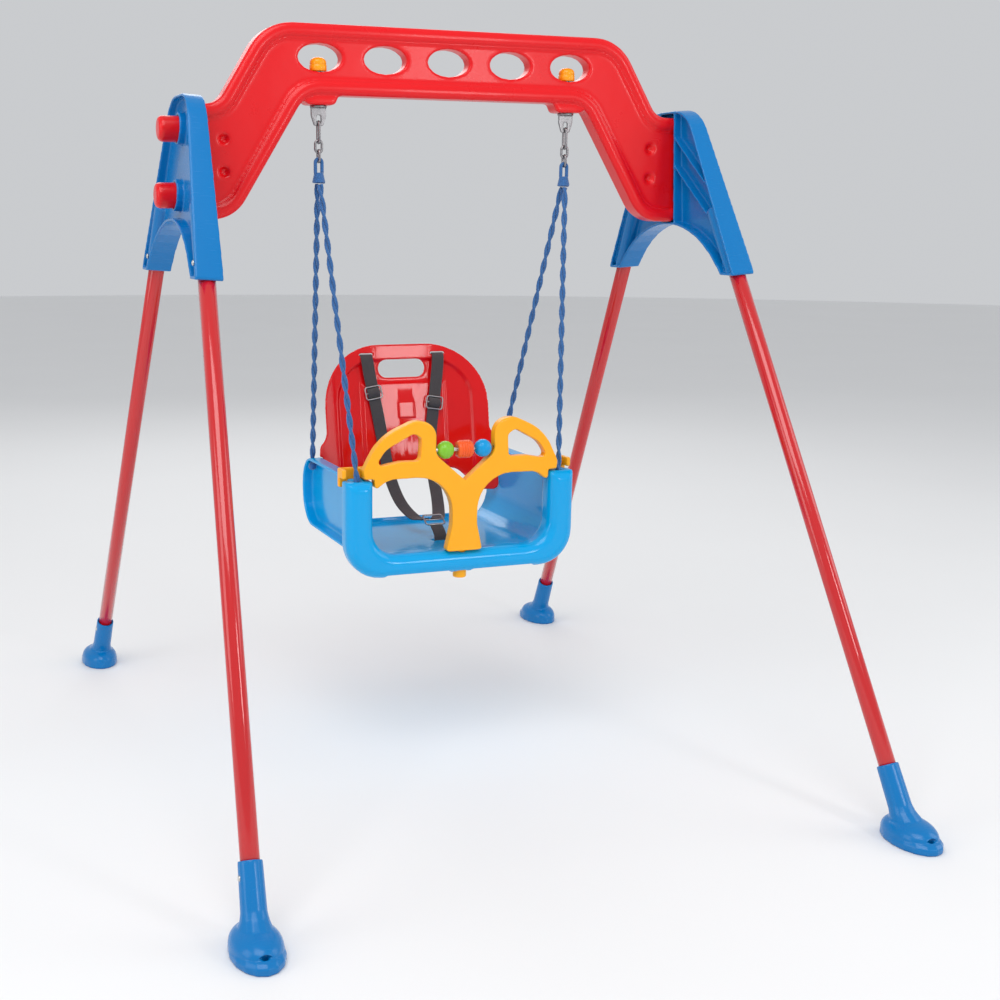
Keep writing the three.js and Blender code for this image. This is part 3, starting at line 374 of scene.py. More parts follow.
def mirrored(piece, name, flip_x=False, flip_y=False):
    """A mirror image of a piece, about the swing's middle planes."""
    mesh = piece.data.copy()
    mesh.transform(Matrix.Diagonal((-1 if flip_x else 1, -1 if flip_y else 1, 1, 1)))
    if flip_x != flip_y:
        mesh.flip_normals()
    return smooth_object(name, mesh)


# %% [markdown]
# ### Beam
# The beam's edge is a fat rolled bar round a thinner web, which is what makes
# a blown moulding stiff. A bevel can't give a roll this wide, so each point
# near the outline is moved to the depth that a half-round has there. The
# oval holes and the raised bosses keep their own shape.

# %% Beam
BEAM_FACE = 0.020  # from the beam's middle plane to its face
BEAM_WEB = 0.014  # from the middle plane to the bottom of the recess
BEAM_BAND = 0.021  # how wide the rolled edge is
BEAM_END = 0.404  # beyond this the beam is inside its bracket, and has no roll
ON_FACE = 1e-5
ON_RECESS = 2e-4


def outer_edge(node):
    """The beam's outline as seen from the front, as pairs of points in the XZ plane."""
    mesh = nodes[node].data
    lines = []
    for face in mesh.polygons:
        corners = [mesh.vertices[i].co for i in face.vertices]
        front = [c for c in corners if abs(c.y + BEAM_FACE) < ON_FACE]
        others = [c for c in corners if abs(c.y + BEAM_FACE) >= ON_FACE]
        if abs(face.normal.y) > 0.1 or len(front) != 2:
            continue
        on_recess = any(abs(abs(c.y) - BEAM_WEB) < ON_RECESS for c in others)
        at_end = min(abs(c.x) for c in front) > BEAM_END
        if not on_recess and not at_end:
            lines.append([(c.x, c.z) for c in front])
    return np.array(lines)


def edge_distance(points, lines):
    """How far each point is from the nearest line."""
    best = np.full(len(points), 1.0)
    for start, end in lines:
        along = end - start
        share = np.clip((points - start) @ along / (along @ along), 0, 1)
        nearest = start + share[:, None] * along
        best = np.minimum(best, np.hypot(*(points - nearest).T))
    return best


beam = rounded_copy("beam_moulding", "crossbeam", 0.0020, 8)
flat = np.empty(len(beam.data.vertices) * 3)
beam.data.vertices.foreach_get("co", flat)
spots = flat.reshape(-1, 3)
edge = edge_distance(spots[:, [0, 2]], outer_edge("crossbeam"))
across_roll = np.clip(edge / BEAM_BAND, 0, 1) * 2 - 1
roll = BEAM_WEB + (BEAM_FACE - BEAM_WEB) * np.sqrt(1 - across_roll ** 2)
inner = BEAM_WEB - 0.001
depth = np.abs(spots[:, 1])
within_bar = (edge < BEAM_BAND) & (depth > inner) & (np.abs(spots[:, 0]) < BEAM_END)
rolled = inner + (depth - inner) * (roll - inner) / (BEAM_FACE - inner)
spots[:, 1] = np.where(within_bar, np.sign(spots[:, 1]) * rolled, spots[:, 1])
beam.data.vertices.foreach_set("co", spots.ravel())
thinned(softened(beam, 7), 0.5)
place(beam, "frame", "beam_red", "crossbeam")
print("beam:", len(beam.data.polygons), "faces")

# %% [markdown]
# ### Brackets
# The two brackets are left and right hands of one moulding. One is rounded,
# and the other is its mirror image, so the two can never differ. The grain is
# finer than the beam's, because the ribs and sleeves are thinner.

# %% Brackets
right_bracket = thinned(rounded_copy("bracket_moulding_right", "bracket_right", 0.0012, 12), 0.2)
place(right_bracket, "frame", "frame_blue", "bracket_right")
left_bracket = mirrored(right_bracket, "bracket_moulding_left", flip_x=True)
place(left_bracket, "frame", "frame_blue", "bracket_left")
print("brackets:", len(right_bracket.data.polygons), "faces each")

# %% [markdown]
# ### Feet
# A foot is a flat sole under a low dome, with a socket that leans along the
# leg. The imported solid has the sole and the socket. The skin of the sole's
# side is moved in, the higher the more, which makes the dome. Points near the
# peg hole and the socket stay where they are. The other three feet are mirror
# images of the first.

# %% Feet
LEG_FOOT = (0.4808, 0.618)  # where a leg's middle line meets the ground
LEG_LEAN = (0.071, 0.555)  # how far a leg leans in across and along, per metre
LEG_ANGLE = math.atan(LEG_LEAN[0])
PAD_SHIFT = 0.004  # the dome's middle stands this much nearer the swing than the leg
PAD_HALF = (0.034, 0.055 - PAD_SHIFT)
PAD_DOME = (0.009, 0.026)  # where the dome starts, and how tall it is
DOME_POWER = 2.6  # how square the dome's shoulder is
DOME_SHARE = 0.97
PEG_HOLE = (0.4808, 0.657)
PEG_CLEAR = 0.0062  # the dome keeps this far from the peg hole's middle
SOCKET_CLEAR = 0.0142  # and this far from the leg's middle line


def off_leg_line(point):
    """How far a point is from the middle line of the back right leg."""
    foot = Vector((*LEG_FOOT, 0))
    along = Vector((-math.sin(LEG_ANGLE), -LEG_LEAN[1], math.cos(LEG_ANGLE))).normalized()
    return (point - foot - along * (point - foot).dot(along)).length


def on_leg(height, sign_x, sign_y):
    """A point on a leg's middle line; height is measured up the leg plane."""
    x = LEG_FOOT[0] - height * math.sin(LEG_ANGLE)
    y = LEG_FOOT[1] - LEG_LEAN[1] * height
    return Vector((sign_x * x, sign_y * y, height * math.cos(LEG_ANGLE)))


first_foot = rounded_copy("foot_moulding_back_right", "foot_back_right", 0.0011, 4)
for vertex in first_foot.data.vertices:
    spot = vertex.co
    rise = (spot.z - PAD_DOME[0]) / PAD_DOME[1]
    near_hole = math.hypot(spot.x - PEG_HOLE[0], spot.y - PEG_HOLE[1]) < PEG_CLEAR
    if not 0 < rise < 1 or near_hole or off_leg_line(spot) < SOCKET_CLEAR:
        continue
    out_x = (spot.x - LEG_FOOT[0]) / PAD_HALF[0]
    out_y = (spot.y - LEG_FOOT[1] + PAD_SHIFT) / PAD_HALF[1]
    out = math.hypot(out_x, out_y)
    dome = math.sqrt(1 - rise ** DOME_POWER) * DOME_SHARE
    if out < dome:
        spot.x = LEG_FOOT[0] + out_x / out * dome * PAD_HALF[0]
        spot.y = LEG_FOOT[1] - PAD_SHIFT + out_y / out * dome * PAD_HALF[1]
thinned(softened(first_foot, 10), 0.3)
place(first_foot, "frame", "frame_blue", "foot_back_right")
for end_name, side_name in (("front", "right"), ("back", "left"), ("front", "left")):
    flips = {"flip_x": side_name == "left", "flip_y": end_name == "front"}
    copy = mirrored(first_foot, f"foot_moulding_{end_name}_{side_name}", **flips)
    place(copy, "frame", "frame_blue", f"foot_{end_name}_{side_name}")
print("feet:", len(first_foot.data.polygons), "faces each")

# %% [markdown]
# ### Seat and safety bar
# The bucket has the broadest edges of all, since a child's legs rest on them,
# so it is smoothed the most. The bar is held in small hands and is smoothed a
# little less, which keeps its hooks crisp.

# %% Seat and safety bar
seat = thinned(rounded_copy("seat_moulding", "seat_shell", 0.0016, 14), 0.3)
place(seat, "seat", "seat_blue", "seat_shell")
bar = thinned(rounded_copy("bar_moulding", "safety_bar", 0.0013, 8), 0.4)
place(bar, "bar", "bar_yellow", "safety_bar")
print("seat:", len(seat.data.polygons), "faces; bar:", len(bar.data.polygons), "faces")

# %% [markdown]
# ## Backrest
# The backrest is a thin wrapped panel. Its face isn't plain: inside a rounded
# border it steps back, and a raised pad runs up the middle, which stiffens
# the sheet. The relief is a smooth depth for each place on the face, so it is
# added by moving the skin's points along the depth.

# %% Backrest
BACK_Y = 0.160
BACK_BASE_Z = 0.450
BACK_LEAN = 0.176
BACK_WRAP = 0.022
BACK_HALF = 0.150
BACK_TOP = 0.652
BACK_COLUMNS = 14
BACK_WIDTH = 0.348


def wrap_depth(x):
    return BACK_WRAP * min(abs(x) / BACK_HALF, 1.1) ** 3


def flat_sided_wrap(x):
    """The same wrap, as the frame's flat strips have it."""
    strip = BACK_WIDTH / BACK_COLUMNS
    low = math.floor((x + BACK_WIDTH / 2) / strip) * strip - BACK_WIDTH / 2
    share = (x - low) / strip
    return (1 - share) * wrap_depth(low) + share * wrap_depth(low + strip)


def soft_step(value, low, high):
    share = min(max((value - low) / (high - low), 0), 1)
    return share * share * (3 - 2 * share)


def inside_border(x, z):
    """0 on the border and 1 on the panel inside it."""
    top_round = math.hypot(max(abs(x) - 0.052, 0), max(z - 0.553, 0))
    side = soft_step(0.128 - abs(x), 0, 0.008)
    top = soft_step(0.076 - top_round, 0, 0.008)
    low = soft_step(z - 0.418, 0, 0.010)
    return side * top * low


def middle_pad(x, z):
    side = soft_step(0.080 - abs(x), 0, 0.007)
    return side * soft_step(0.590 - z, 0, 0.006) * soft_step(z - 0.44, 0, 0.01)


def small_square(x, z, middle_x, middle_z, half_width, half_height):
    wide = soft_step(half_width - abs(x - middle_x), 0, 0.003)
    return wide * soft_step(half_height - abs(z - middle_z), 0, 0.003)


backrest = rounded_copy("backrest_moulding", "backrest", 0.0014, 4)
for vertex in backrest.data.vertices:
    x, y, z = vertex.co
    relief = 0.0045 * inside_border(x, z)
    relief -= 0.003 * middle_pad(x, z)
    relief -= 0.0012 * small_square(x, z, 0.004, 0.540, 0.016, 0.015)
    vertex.co.y = y + flat_sided_wrap(x) - wrap_depth(x) + relief
thinned(backrest, 0.35)
place(backrest, "seat", "back_red", "backrest")
print("backrest:", len(backrest.data.polygons), "faces")

# %% [markdown]
# ## Legs, links, beads and rods
# A painted steel tube is a swept circle with a wall. The chain links are bent
# from round wire and welded, so each is a closed sweep. The beads are turned
# about the rod that they spin on.


# %% Tubes for the legs
def tube_between(name, start, end, radius, wall, sides=48):
    start, end = Vector(start), Vector(end)
    along = (end - start).normalized()
    side, up = across_axes(along)
    profile = [
        (0.0, radius - wall),
        (0.0, radius - 0.0003),
        (0.0003, radius),
        (0.5, radius),
        (0.9997, radius),
        (1.0, radius - 0.0003),
        (1.0, radius - wall),
        (0.5, radius - wall),
    ]
    rings = []
    for share, r in profile:
        centre = start.lerp(end, share)
        rings.append([
            centre + (side * math.cos(t) + up * math.sin(t)) * r for t in round_angles(sides)
        ])
    return skin(name, rings, closed=True)


LEG_ENDS = (0.040, 0.872)
LEG_RADIUS = 0.0125
LEG_WALL = 0.0015

for side_name, sign_x in (("left", -1), ("right", 1)):
    for end_name, sign_y in (("front", -1), ("back", 1)):
        low = on_leg(LEG_ENDS[0], sign_x, sign_y)
        high = on_leg(LEG_ENDS[1], sign_x, sign_y)
        name = f"leg_tube_{end_name}_{side_name}"
        leg = tube_between(name, low, high, LEG_RADIUS, LEG_WALL)
        place(leg, "frame", "leg_red", f"leg_{end_name}_{side_name}")
print("a leg is", round((high - low).length, 3), "m long")

# %% [markdown]
# ### Chain links
# Each link is round wire bent to two half circles and welded. Its neighbours
# stand square to it, so every other link is turned by a quarter.

# %% Chain links
LINK_WIRE = 0.004
LINK_BEND = 0.0052


def chain_link(name, node):
    low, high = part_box(node)
    middle = (low + high) / 2
    straight = (high.z - low.z) - LINK_WIRE - 2 * LINK_BEND
    line = stadium(0, high.z - LINK_WIRE / 2, LINK_BEND, straight, 12)
    link = bent_tube(name, line, LINK_WIRE / 2)
    turn = Matrix.Rotation(math.pi / 2, 4, "Z") if high.y - low.y > high.x - low.x else Matrix()
    link.data.transform(Matrix.Translation((middle.x, 0, 0)) @ turn)
    return link


for side_name in ("left", "right"):
    for i in (1, 2, 3):
        link = chain_link(f"wire_link_{i}_{side_name}", f"chain_link_{i}_{side_name}")
        place(link, "seat", "chain_steel", f"chain_link_{i}_{side_name}")
    bolt = rounded_copy(f"eye_plate_{side_name}", f"eyebolt_{side_name}", 0.0006, 5)
    place(thinned(bolt, 0.3), "frame", "chain_steel", f"eyebolt_{side_name}")
print("6 links and 2 eye plates")


# %% [markdown]
# ### Domed caps
# A cap hides each hanger's nut. It is a turned shape with a groove under a
# low dome, so a profile carried round an axis gives all of it.

# %% Turned pieces
def turned(name, profile, centre, axis="Z", sides=40):
    """profile is (distance along the axis, radius) pairs; the ends close on the axis."""
    rings = []
    for along, radius in profile:
        rings.append([
            Vector((radius * math.cos(t), radius * math.sin(t), along))
            for t in round_angles(sides)
        ])
    piece = skin(name, rings)
    if axis == "X":
        piece.data.transform(Matrix.Rotation(math.pi / 2, 4, "Y"))
    piece.data.transform(Matrix.Translation(centre))
    return piece


for side_name, sign_x in (("left", -1), ("right", 1)):
    low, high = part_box(f"hanger_cap_{side_name}")
    radius = (high.x - low.x) / 2
    height = high.z - low.z
    cap_profile = [
        (0, radius - 0.0008),
        (0.0008, radius),
        (height * 0.42, radius),
        (height * 0.46, radius - 0.0009),
        (height * 0.50, radius - 0.0003),
        (height * 0.72, radius - 0.0008),
        (height * 0.86, radius - 0.0026),
        (height * 0.96, radius - 0.0060),
        (height, radius - 0.0095),
        (height, 0.0001),
    ]
    cap = turned(f"domed_cap_{side_name}", cap_profile, (sign_x * HANGER_X, 0, low.z))
    place(cap, "frame", "cap_yellow", f"hanger_cap_{side_name}")
print("2 domed caps")

# %% [markdown]
# ## Beads
# Two balls and a roller spin on a steel rod between the bar's horns, for the
# child to turn. A turned profile gives each its outline, with shallow grooves
# where the two halves of the mould meet and where small fingers can grip.

# %% Beads and their rod
BEAD_RADIUS = 0.0142
BORE_RADIUS = 0.0034


def ball_profile(radius, bore, grooves):
    profile = []
    for i in range(41):
        angle = math.pi * (i / 40 - 0.5)
        along, out = radius * math.sin(angle), radius * math.cos(angle)
        for place_of in grooves:
            out -= 0.0007 * math.exp(-(((along - place_of) / 0.0007) ** 2))
        if out > bore:
            profile.append((along, out))
    return [(profile[0][0], bore)] + profile + [(profile[-1][0], bore)]


def hollow_turned(name, profile, bore, centre):
    """A turned piece with a bore through it, along X."""
    inner = [(along, bore) for along, _ in (profile[-1], profile[0])]
    rings = []
    for along, radius in profile + inner:
        rings.append([
            Vector((along, radius * math.cos(t), radius * math.sin(t)))
            for t in round_angles(40)
        ])
    piece = skin(name, rings, closed=True)
    piece.data.transform(Matrix.Translation(centre))
    return piece


def centre_of(node):
    low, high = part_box(node)
    return (low + high) / 2


half_roller = (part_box("bead_roller")[1].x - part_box("bead_roller")[0].x) / 2
roller_profile = []
for i in range(49):
    along = half_roller * (i / 24 - 1)
    ridge = 0.0007 * math.cos(2 * math.pi * 3 * along / half_roller)
    edge = 0.0025 * (1 - soft_step(half_roller - abs(along), 0, 0.002))
    roller_profile.append((along, BEAD_RADIUS - 0.0007 + ridge - edge))

balls = ball_profile(BEAD_RADIUS, BORE_RADIUS, (0.0, 0.0075, -0.0075))
green = hollow_turned("ball_green", balls, BORE_RADIUS, centre_of("bead_green"))
place(green, "bead_green", "bead_green", "bead_green")
blue = hollow_turned("ball_blue", balls, BORE_RADIUS, centre_of("bead_blue"))
place(blue, "bead_blue", "bead_blue", "bead_blue")
roller = hollow_turned("roller_orange", roller_profile, BORE_RADIUS, centre_of("bead_roller"))
place(roller, "bead_roller", "bead_orange", "bead_roller")

rod_low, rod_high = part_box("bead_rod")
rod_half = (rod_high.x - rod_low.x) / 2
rod_radius = (rod_high.z - rod_low.z) / 2
rod_profile = [
    (-rod_half, 0.0005),
    (-rod_half, rod_radius - 0.0005),
    (-rod_half + 0.0005, rod_radius),
    (rod_half - 0.0005, rod_radius),
    (rod_half, rod_radius - 0.0005),
    (rod_half, 0.0005),
]
rod = turned("steel_rod", rod_profile, centre_of("bead_rod"), axis="X", sides=24)
place(rod, "bar", "screw_steel", "bead_rod")
print("beads", round(BEAD_RADIUS * 2000, 1), "mm across")

# %% [markdown]
# ## Screws
# One screw holds each leg in its foot and one in its bracket. It is driven
# square to the leg, so its head points out and a little up.

# %% Screws
SCREW_PLACES = {"foot_screw": (0.080, 0.0167), "sleeve_screw": (0.806, 0.0193)}
HEAD_RADIUS = 0.004


def screw(name, at, outward):
    profile = [
        (-0.0110, 0.0001),
        (-0.0110, 0.0012),
        (-0.0095, 0.0019),
        (-0.0024, 0.0019),
        (-0.0024, HEAD_RADIUS - 0.0001),
        (-0.0016, HEAD_RADIUS),
        (-0.0006, HEAD_RADIUS - 0.0006),
        (0.0, 0.0022),
        (0.0, 0.0017),
        (-0.0012, 0.0015),
        (-0.0012, 0.0001),
    ]
    piece = turned(name, profile, (0, 0, 0), sides=24)
    piece.data.transform(Vector(outward).to_track_quat("Z", "Y").to_matrix().to_4x4())
    piece.data.transform(Matrix.Translation(at))
    return piece


for side_name, sign_x in (("left", -1), ("right", 1)):
    outward = Vector((sign_x * math.cos(LEG_ANGLE), 0, math.sin(LEG_ANGLE)))
    for end_name, sign_y in (("front", -1), ("back", 1)):
        for kind, (height, reach) in SCREW_PLACES.items():
            at = on_leg(height, sign_x, sign_y) + outward * reach
            node = f"{kind}_{end_name}_{side_name}"
            place(screw(f"driven_{node}", at, outward), "frame", "screw_steel", node)
print("8 screws")

# %% [markdown]
# ## Harness
# The harness is flat webbing. Cloth simulation would crumple it like a rag,
# and real webbing is too stiff for that, so each strap is swept along its
# line with a flat section that has rounded selvedges. Its surface carries
# coordinates across and along, in which the weave is drawn.

# %% Straps
STRAP_WIDTH = 0.022
STRAP_THICK = 0.0018
STRAP_OFF = 0.003


def back_face(x, z):
    return BACK_Y + BACK_LEAN * (z - BACK_BASE_Z) - wrap_depth(x)


def on_back(x, z, off=STRAP_OFF):
    return Vector((x, back_face(x, z) - off, z))


def smooth_line(points, count):
    """A smooth line through the points, at even steps."""
    fine = []
    padded = [2 * points[0] - points[1]] + list(points) + [2 * points[-1] - points[-2]]
    for a, b, c, d in zip(padded, padded[1:], padded[2:], padded[3:]):
        for i in range(24):
            t = i / 24
            fine.append(0.5 * (2 * b + (c - a) * t + (2 * a - 5 * b + 4 * c - d) * t * t
                               + (3 * b - a - 3 * c + d) * t ** 3))
    fine.append(points[-1])
    travelled = [0.0]
    for a, b in zip(fine, fine[1:]):
        travelled.append(travelled[-1] + (b - a).length)
    line, k = [], 0
    for i in range(count + 1):
        want = travelled[-1] * i / count
        while k < len(fine) - 2 and travelled[k + 1] < want:
            k += 1
        share = (want - travelled[k]) / max(travelled[k + 1] - travelled[k], 1e-9)
        line.append(fine[k].lerp(fine[k + 1], share))
    return line, travelled[-1]


def webbing_strap(name, points, across=Vector((1, 0, 0)), width=STRAP_WIDTH, thick=STRAP_THICK):
    points = [Vector(point) for point in points]
    count = max(int(sum((b - a).length for a, b in zip(points, points[1:])) / 0.004), 4)
    line, length = smooth_line(points, count)
    half, t = width / 2, thick / 2
    section = [(-half, 0), (-half + t * 0.4, t * 0.8), (-half + t * 1.6, t)]
    section += [(-half * 0.5, t), (0, t), (half * 0.5, t)]
    section += [(-a, b) for a, b in reversed(section[:3])]
    section += [(a, -b) for a, b in reversed(section[1:-1])]
    rings = []
    for i, here in enumerate(line):
        along = (line[min(i + 1, count)] - line[max(i - 1, 0)]).normalized()
        wide = (across - along * across.dot(along)).normalized()
        out = along.cross(wide)
        rings.append([here + wide * a + out * b for a, b in section])
    strap = skin(name, rings)
    layer = strap.data.uv_layers.new(name="weave")
    size = len(section)
    for loop in strap.data.loops:
        ring, j = divmod(loop.vertex_index, size)
        layer.data[loop.index].uv = (section[j][0] + half, length * ring / count)
    return strap, length


strap_lengths = {}
for side_name, side in (("left", -1), ("right", 1)):
    route = [
        (side * 0.066, back_face(0.066, 0.600) + 0.0085, 0.600),
        (side * 0.066, back_face(0.066, 0.622) + 0.0080, 0.624),
        (side * 0.066, back_face(0.066, 0.636) + 0.0022, 0.6360),
        on_back(side * 0.0655, 0.628),
        on_back(side * 0.062, 0.600),
        on_back(side * 0.052, 0.540),
        on_back(side * 0.044, 0.485),
        (side * 0.040, 0.138, 0.430),
        (side * 0.034, 0.102, 0.392),
        (side * 0.022, 0.066, 0.372),
        (side * 0.010, 0.045, 0.3715),
    ]
    strap, length = webbing_strap(f"shoulder_webbing_{side_name}", route)
    place(strap, "seat", "webbing", f"shoulder_strap_{side_name}")
    strap_lengths[side_name] = length

crotch_route = [
    (0, 0.0010, 0.3375),
    (0, 0.0012, 0.350),
    (0, 0.0080, 0.358),
    (0, 0.0170, 0.3635),
    (0, 0.0235, 0.3675),
]
crotch, crotch_length = webbing_strap("crotch_webbing", crotch_route)
place(crotch, "seat", "webbing", "crotch_strap")
print("shoulder straps", {k: round(v, 3) for k, v in strap_lengths.items()})
print("crotch strap", round(crotch_length, 3))

# %% [markdown]
# ## Strap hardware
# Each adjuster is a rectangle bent from wire with a bar across the middle, and
# the strap goes over that bar. The little hump of webbing over the bar moves
# with the adjuster when it slides, so it is a piece of its own.


# %% Wire frames
def wire_frame(name, width, height, wire, corner=0.004):
    """A rounded rectangle of wire in the XZ plane, about the origin, with a bar across."""
    points = []
    for quarter, (sx, sz) in enumerate(((1, 1), (-1, 1), (-1, -1), (1, -1))):
        middle = Vector((sx * (width / 2 - corner), 0, sz * (height / 2 - corner)))
        for i in range(7):
            angle = math.pi / 2 * (quarter + i / 6)
            points.append(middle + Vector((math.cos(angle), 0, math.sin(angle))) * corner)
    loop = bent_tube("loop", points, wire)
    bar_rings = []
    for share in (-1, -0.5, 0, 0.5, 1):
        x = share * (width / 2 - wire * 0.4)
        bar_rings.append([
            (x, wire * 0.9 * math.cos(t), wire * 0.9 * math.sin(t)) for t in round_angles(12)
        ])
    return joined(name, [loop, skin("bar", bar_rings)])


def hump(name, width):
    """The webbing over the adjuster's middle bar, about the origin."""
    route = [
        (0, 0.0014, 0.0078),
        (0, -0.0010, 0.0050),
        (0, -0.0030, 0),
        (0, -0.0010, -0.0050),
        (0, 0.0014, -0.0078),
    ]
    strap, _ = webbing_strap(name, route, width=width)
    return strap


lean_back = Matrix.Rotation(-math.atan(BACK_LEAN), 4, "X")
for side_name in ("left", "right"):
    node = f"strap_adjuster_{side_name}"
    turn = Matrix.Translation(centre_of(node)) @ lean_back
    tilt_in = Matrix.Rotation(math.radians(-9 if side_name == "left" else 9), 4, "Y")
    ring = wire_frame(f"adjuster_{side_name}", 0.0292, 0.0214, 0.00125)
    ring.data.transform(turn @ tilt_in)
    place(ring, node.replace("strap_", ""), "buckle_steel", node)
    over = hump(f"adjuster_webbing_{side_name}", 0.0222)
    over.data.transform(turn @ tilt_in)
    place(over, node.replace("strap_", ""), "webbing")

buckle = wire_frame("crotch_frame", 0.0335, 0.0236, 0.0014)
laid_back = Matrix.Rotation(-math.pi / 3, 4, "X")
buckle.data.transform(Matrix.Translation(centre_of("crotch_buckle")) @ laid_back)
place(buckle, "seat", "buckle_steel", "crotch_buckle")
print("3 wire frames")

# %% [markdown]
# ## Finishes
# No real surface is one flat colour. Four effects are shared by the finishes,
# so each is a node group with its own settings: a slow drift of colour, the
# faint flow and grain of a moulded skin, the dulling that hands and ground
# leave, and the weave of a strap. The shader itself stays in each material.


# %% Node helpers
def group(name, inputs, outputs):
    tree = bpy.data.node_groups.new(name, "ShaderNodeTree")
    for title, kind, value in inputs:
        socket = tree.interface.new_socket(title, in_out="INPUT", socket_type=kind)
        if value is not None:
            socket.default_value = value
    for title, kind in outputs:
        tree.interface.new_socket(title, in_out="OUTPUT", socket_type=kind)
    start = tree.nodes.new("NodeGroupInput")
    end = tree.nodes.new("NodeGroupOutput")
    return tree, start, end


def node(tree, kind, **settings):
    made = tree.nodes.new(kind)
    for key, value in settings.items():
        setattr(made, key, value)
    return made


def maths(tree, operation, a, b, c=None):
    made = node(tree, "ShaderNodeMath", operation=operation)
    for socket, value in zip(made.inputs, (a, b, c)):
        if value is None:
            continue
        if isinstance(value, (int, float)):
            socket.default_value = value
        else:
            tree.links.new(value, socket)
    return made.outputs[0]


def noise(tree, vector, scale, detail=2.0, rough=0.5):
    made = node(tree, "ShaderNodeTexNoise")
    made.inputs["Detail"].default_value = detail
    made.inputs["Roughness"].default_value = rough
    if isinstance(scale, (int, float)):
        made.inputs["Scale"].default_value = scale
    else:
        tree.links.new(scale, made.inputs["Scale"])
    tree.links.new(vector, made.inputs["Vector"])
    return made.outputs["Fac"]


# %% [markdown]
# ### Colour drift
# Pigment is never mixed quite evenly. A very slow noise makes the colour a
# little lighter here and darker there, and leaves the hue alone.

# %% Colour drift
drift, inside, out = group(
    "colour_drift",
    [("Vector", "NodeSocketVector", None), ("Colour", "NodeSocketColor", (0.8, 0.8, 0.8, 1)),
     ("Amount", "NodeSocketFloat", 0.1), ("Scale", "NodeSocketFloat", 8.0)],
    [("Colour", "NodeSocketColor")],
)
slow = noise(drift, inside.outputs["Vector"], inside.outputs["Scale"], 3)
centred = maths(drift, "SUBTRACT", slow, 0.5)
scaled = maths(drift, "MULTIPLY", centred, inside.outputs["Amount"])
value = maths(drift, "ADD", scaled, 1.0)
hsv = node(drift, "ShaderNodeHueSaturation")
drift.links.new(inside.outputs["Colour"], hsv.inputs["Color"])
drift.links.new(value, hsv.inputs["Value"])
drift.links.new(hsv.outputs["Color"], out.inputs["Colour"])
print("group", drift.name)

# %% [markdown]
# ### Moulded skin
# Plastic shrinks as it cools, which leaves a slow wave, and the mould's own
# polish leaves a fine grain. Both are a height for a Bump node to read.

# %% Moulded skin: slow flow under fine grain
moulded_skin, inside, out = group(
    "moulded_skin",
    [("Vector", "NodeSocketVector", None), ("Flow", "NodeSocketFloat", 0.5),
     ("Grain", "NodeSocketFloat", 0.2)],
    [("Height", "NodeSocketFloat")],
)
flow = noise(moulded_skin, inside.outputs["Vector"], 22.0, 1)
grain = noise(moulded_skin, inside.outputs["Vector"], 900.0, 2)
a = maths(moulded_skin, "MULTIPLY", flow, inside.outputs["Flow"])
b = maths(moulded_skin, "MULTIPLY", grain, inside.outputs["Grain"])
moulded_skin.links.new(maths(moulded_skin, "ADD", a, b), out.inputs["Height"])
print("group", moulded_skin.name)

# %% [markdown]
# ### Handling
# Hands and weather dull a toy in patches, and grit leaves fine lines. Neither
# changes the colour much, so they only change how sharp the gloss is.

# %% Handling: dull patches and fine scratches
handling, inside, out = group(
    "handling",
    [("Vector", "NodeSocketVector", None), ("Clean", "NodeSocketFloat", 0.2),
     ("Dull", "NodeSocketFloat", 0.15)],
    [("Roughness", "NodeSocketFloat")],
)
patches = noise(handling, inside.outputs["Vector"], 14.0, 5, 0.6)
stretched = node(handling, "ShaderNodeMapping")
stretched.inputs["Scale"].default_value = (40, 900, 220)
stretched.inputs["Rotation"].default_value = (0.4, 0.7, 0.2)
handling.links.new(inside.outputs["Vector"], stretched.inputs["Vector"])
lines = noise(handling, stretched.outputs["Vector"], 1.0, 3)
line_mask = maths(handling, "GREATER_THAN", lines, 0.66)
patch_mask = maths(handling, "MULTIPLY", patches, inside.outputs["Dull"])
line_share = maths(handling, "MULTIPLY", line_mask, 0.05)
both = maths(handling, "ADD", patch_mask, line_share)
handling.links.new(maths(handling, "ADD", both, inside.outputs["Clean"]), out.inputs["Roughness"])
print("group", handling.name)

# %% [markdown]
# ### Weave
# In a plain weave each thread goes over one and under the next. Two waves, one
# across the strap and one along it, give that, and every other warp thread is
# moved on by half a step. Low threads also get a darker colour, which is painted shade.

# %% Weave, drawn across and along a strap
weave, inside, out = group(
    "weave",
    [("Vector", "NodeSocketVector", None), ("Threads", "NodeSocketFloat", 900.0)],
    [("Height", "NodeSocketFloat"), ("Shade", "NodeSocketFloat")],
)
split = node(weave, "ShaderNodeSeparateXYZ")
weave.links.new(inside.outputs["Vector"], split.inputs["Vector"])
tau = 2 * math.pi
warp_at = maths(weave, "MULTIPLY", split.outputs["X"], inside.outputs["Threads"])
weft_at = maths(weave, "MULTIPLY", split.outputs["Y"], inside.outputs["Threads"])
warp = maths(weave, "SINE", maths(weave, "MULTIPLY", warp_at, tau), 0.0)
half_step = maths(weave, "MULTIPLY", maths(weave, "FLOOR", warp_at, 0.0), 0.5)
weft_moved = maths(weave, "ADD", weft_at, half_step)
weft = maths(weave, "SINE", maths(weave, "MULTIPLY", weft_moved, tau), 0.0)
ridge = maths(weave, "MULTIPLY", maths(weave, "ABSOLUTE", warp, 0.0), 0.5)
lift = maths(weave, "MULTIPLY", weft, 0.5)
height = maths(weave, "ADD", ridge, lift)
weave.links.new(height, out.inputs["Height"])
# Painted shade: the strap's colour is darkened where the weave is low.
shade = maths(weave, "MULTIPLY_ADD", height, 0.25, 0.75)
weave.links.new(shade, out.inputs["Shade"])
print("group", weave.name)


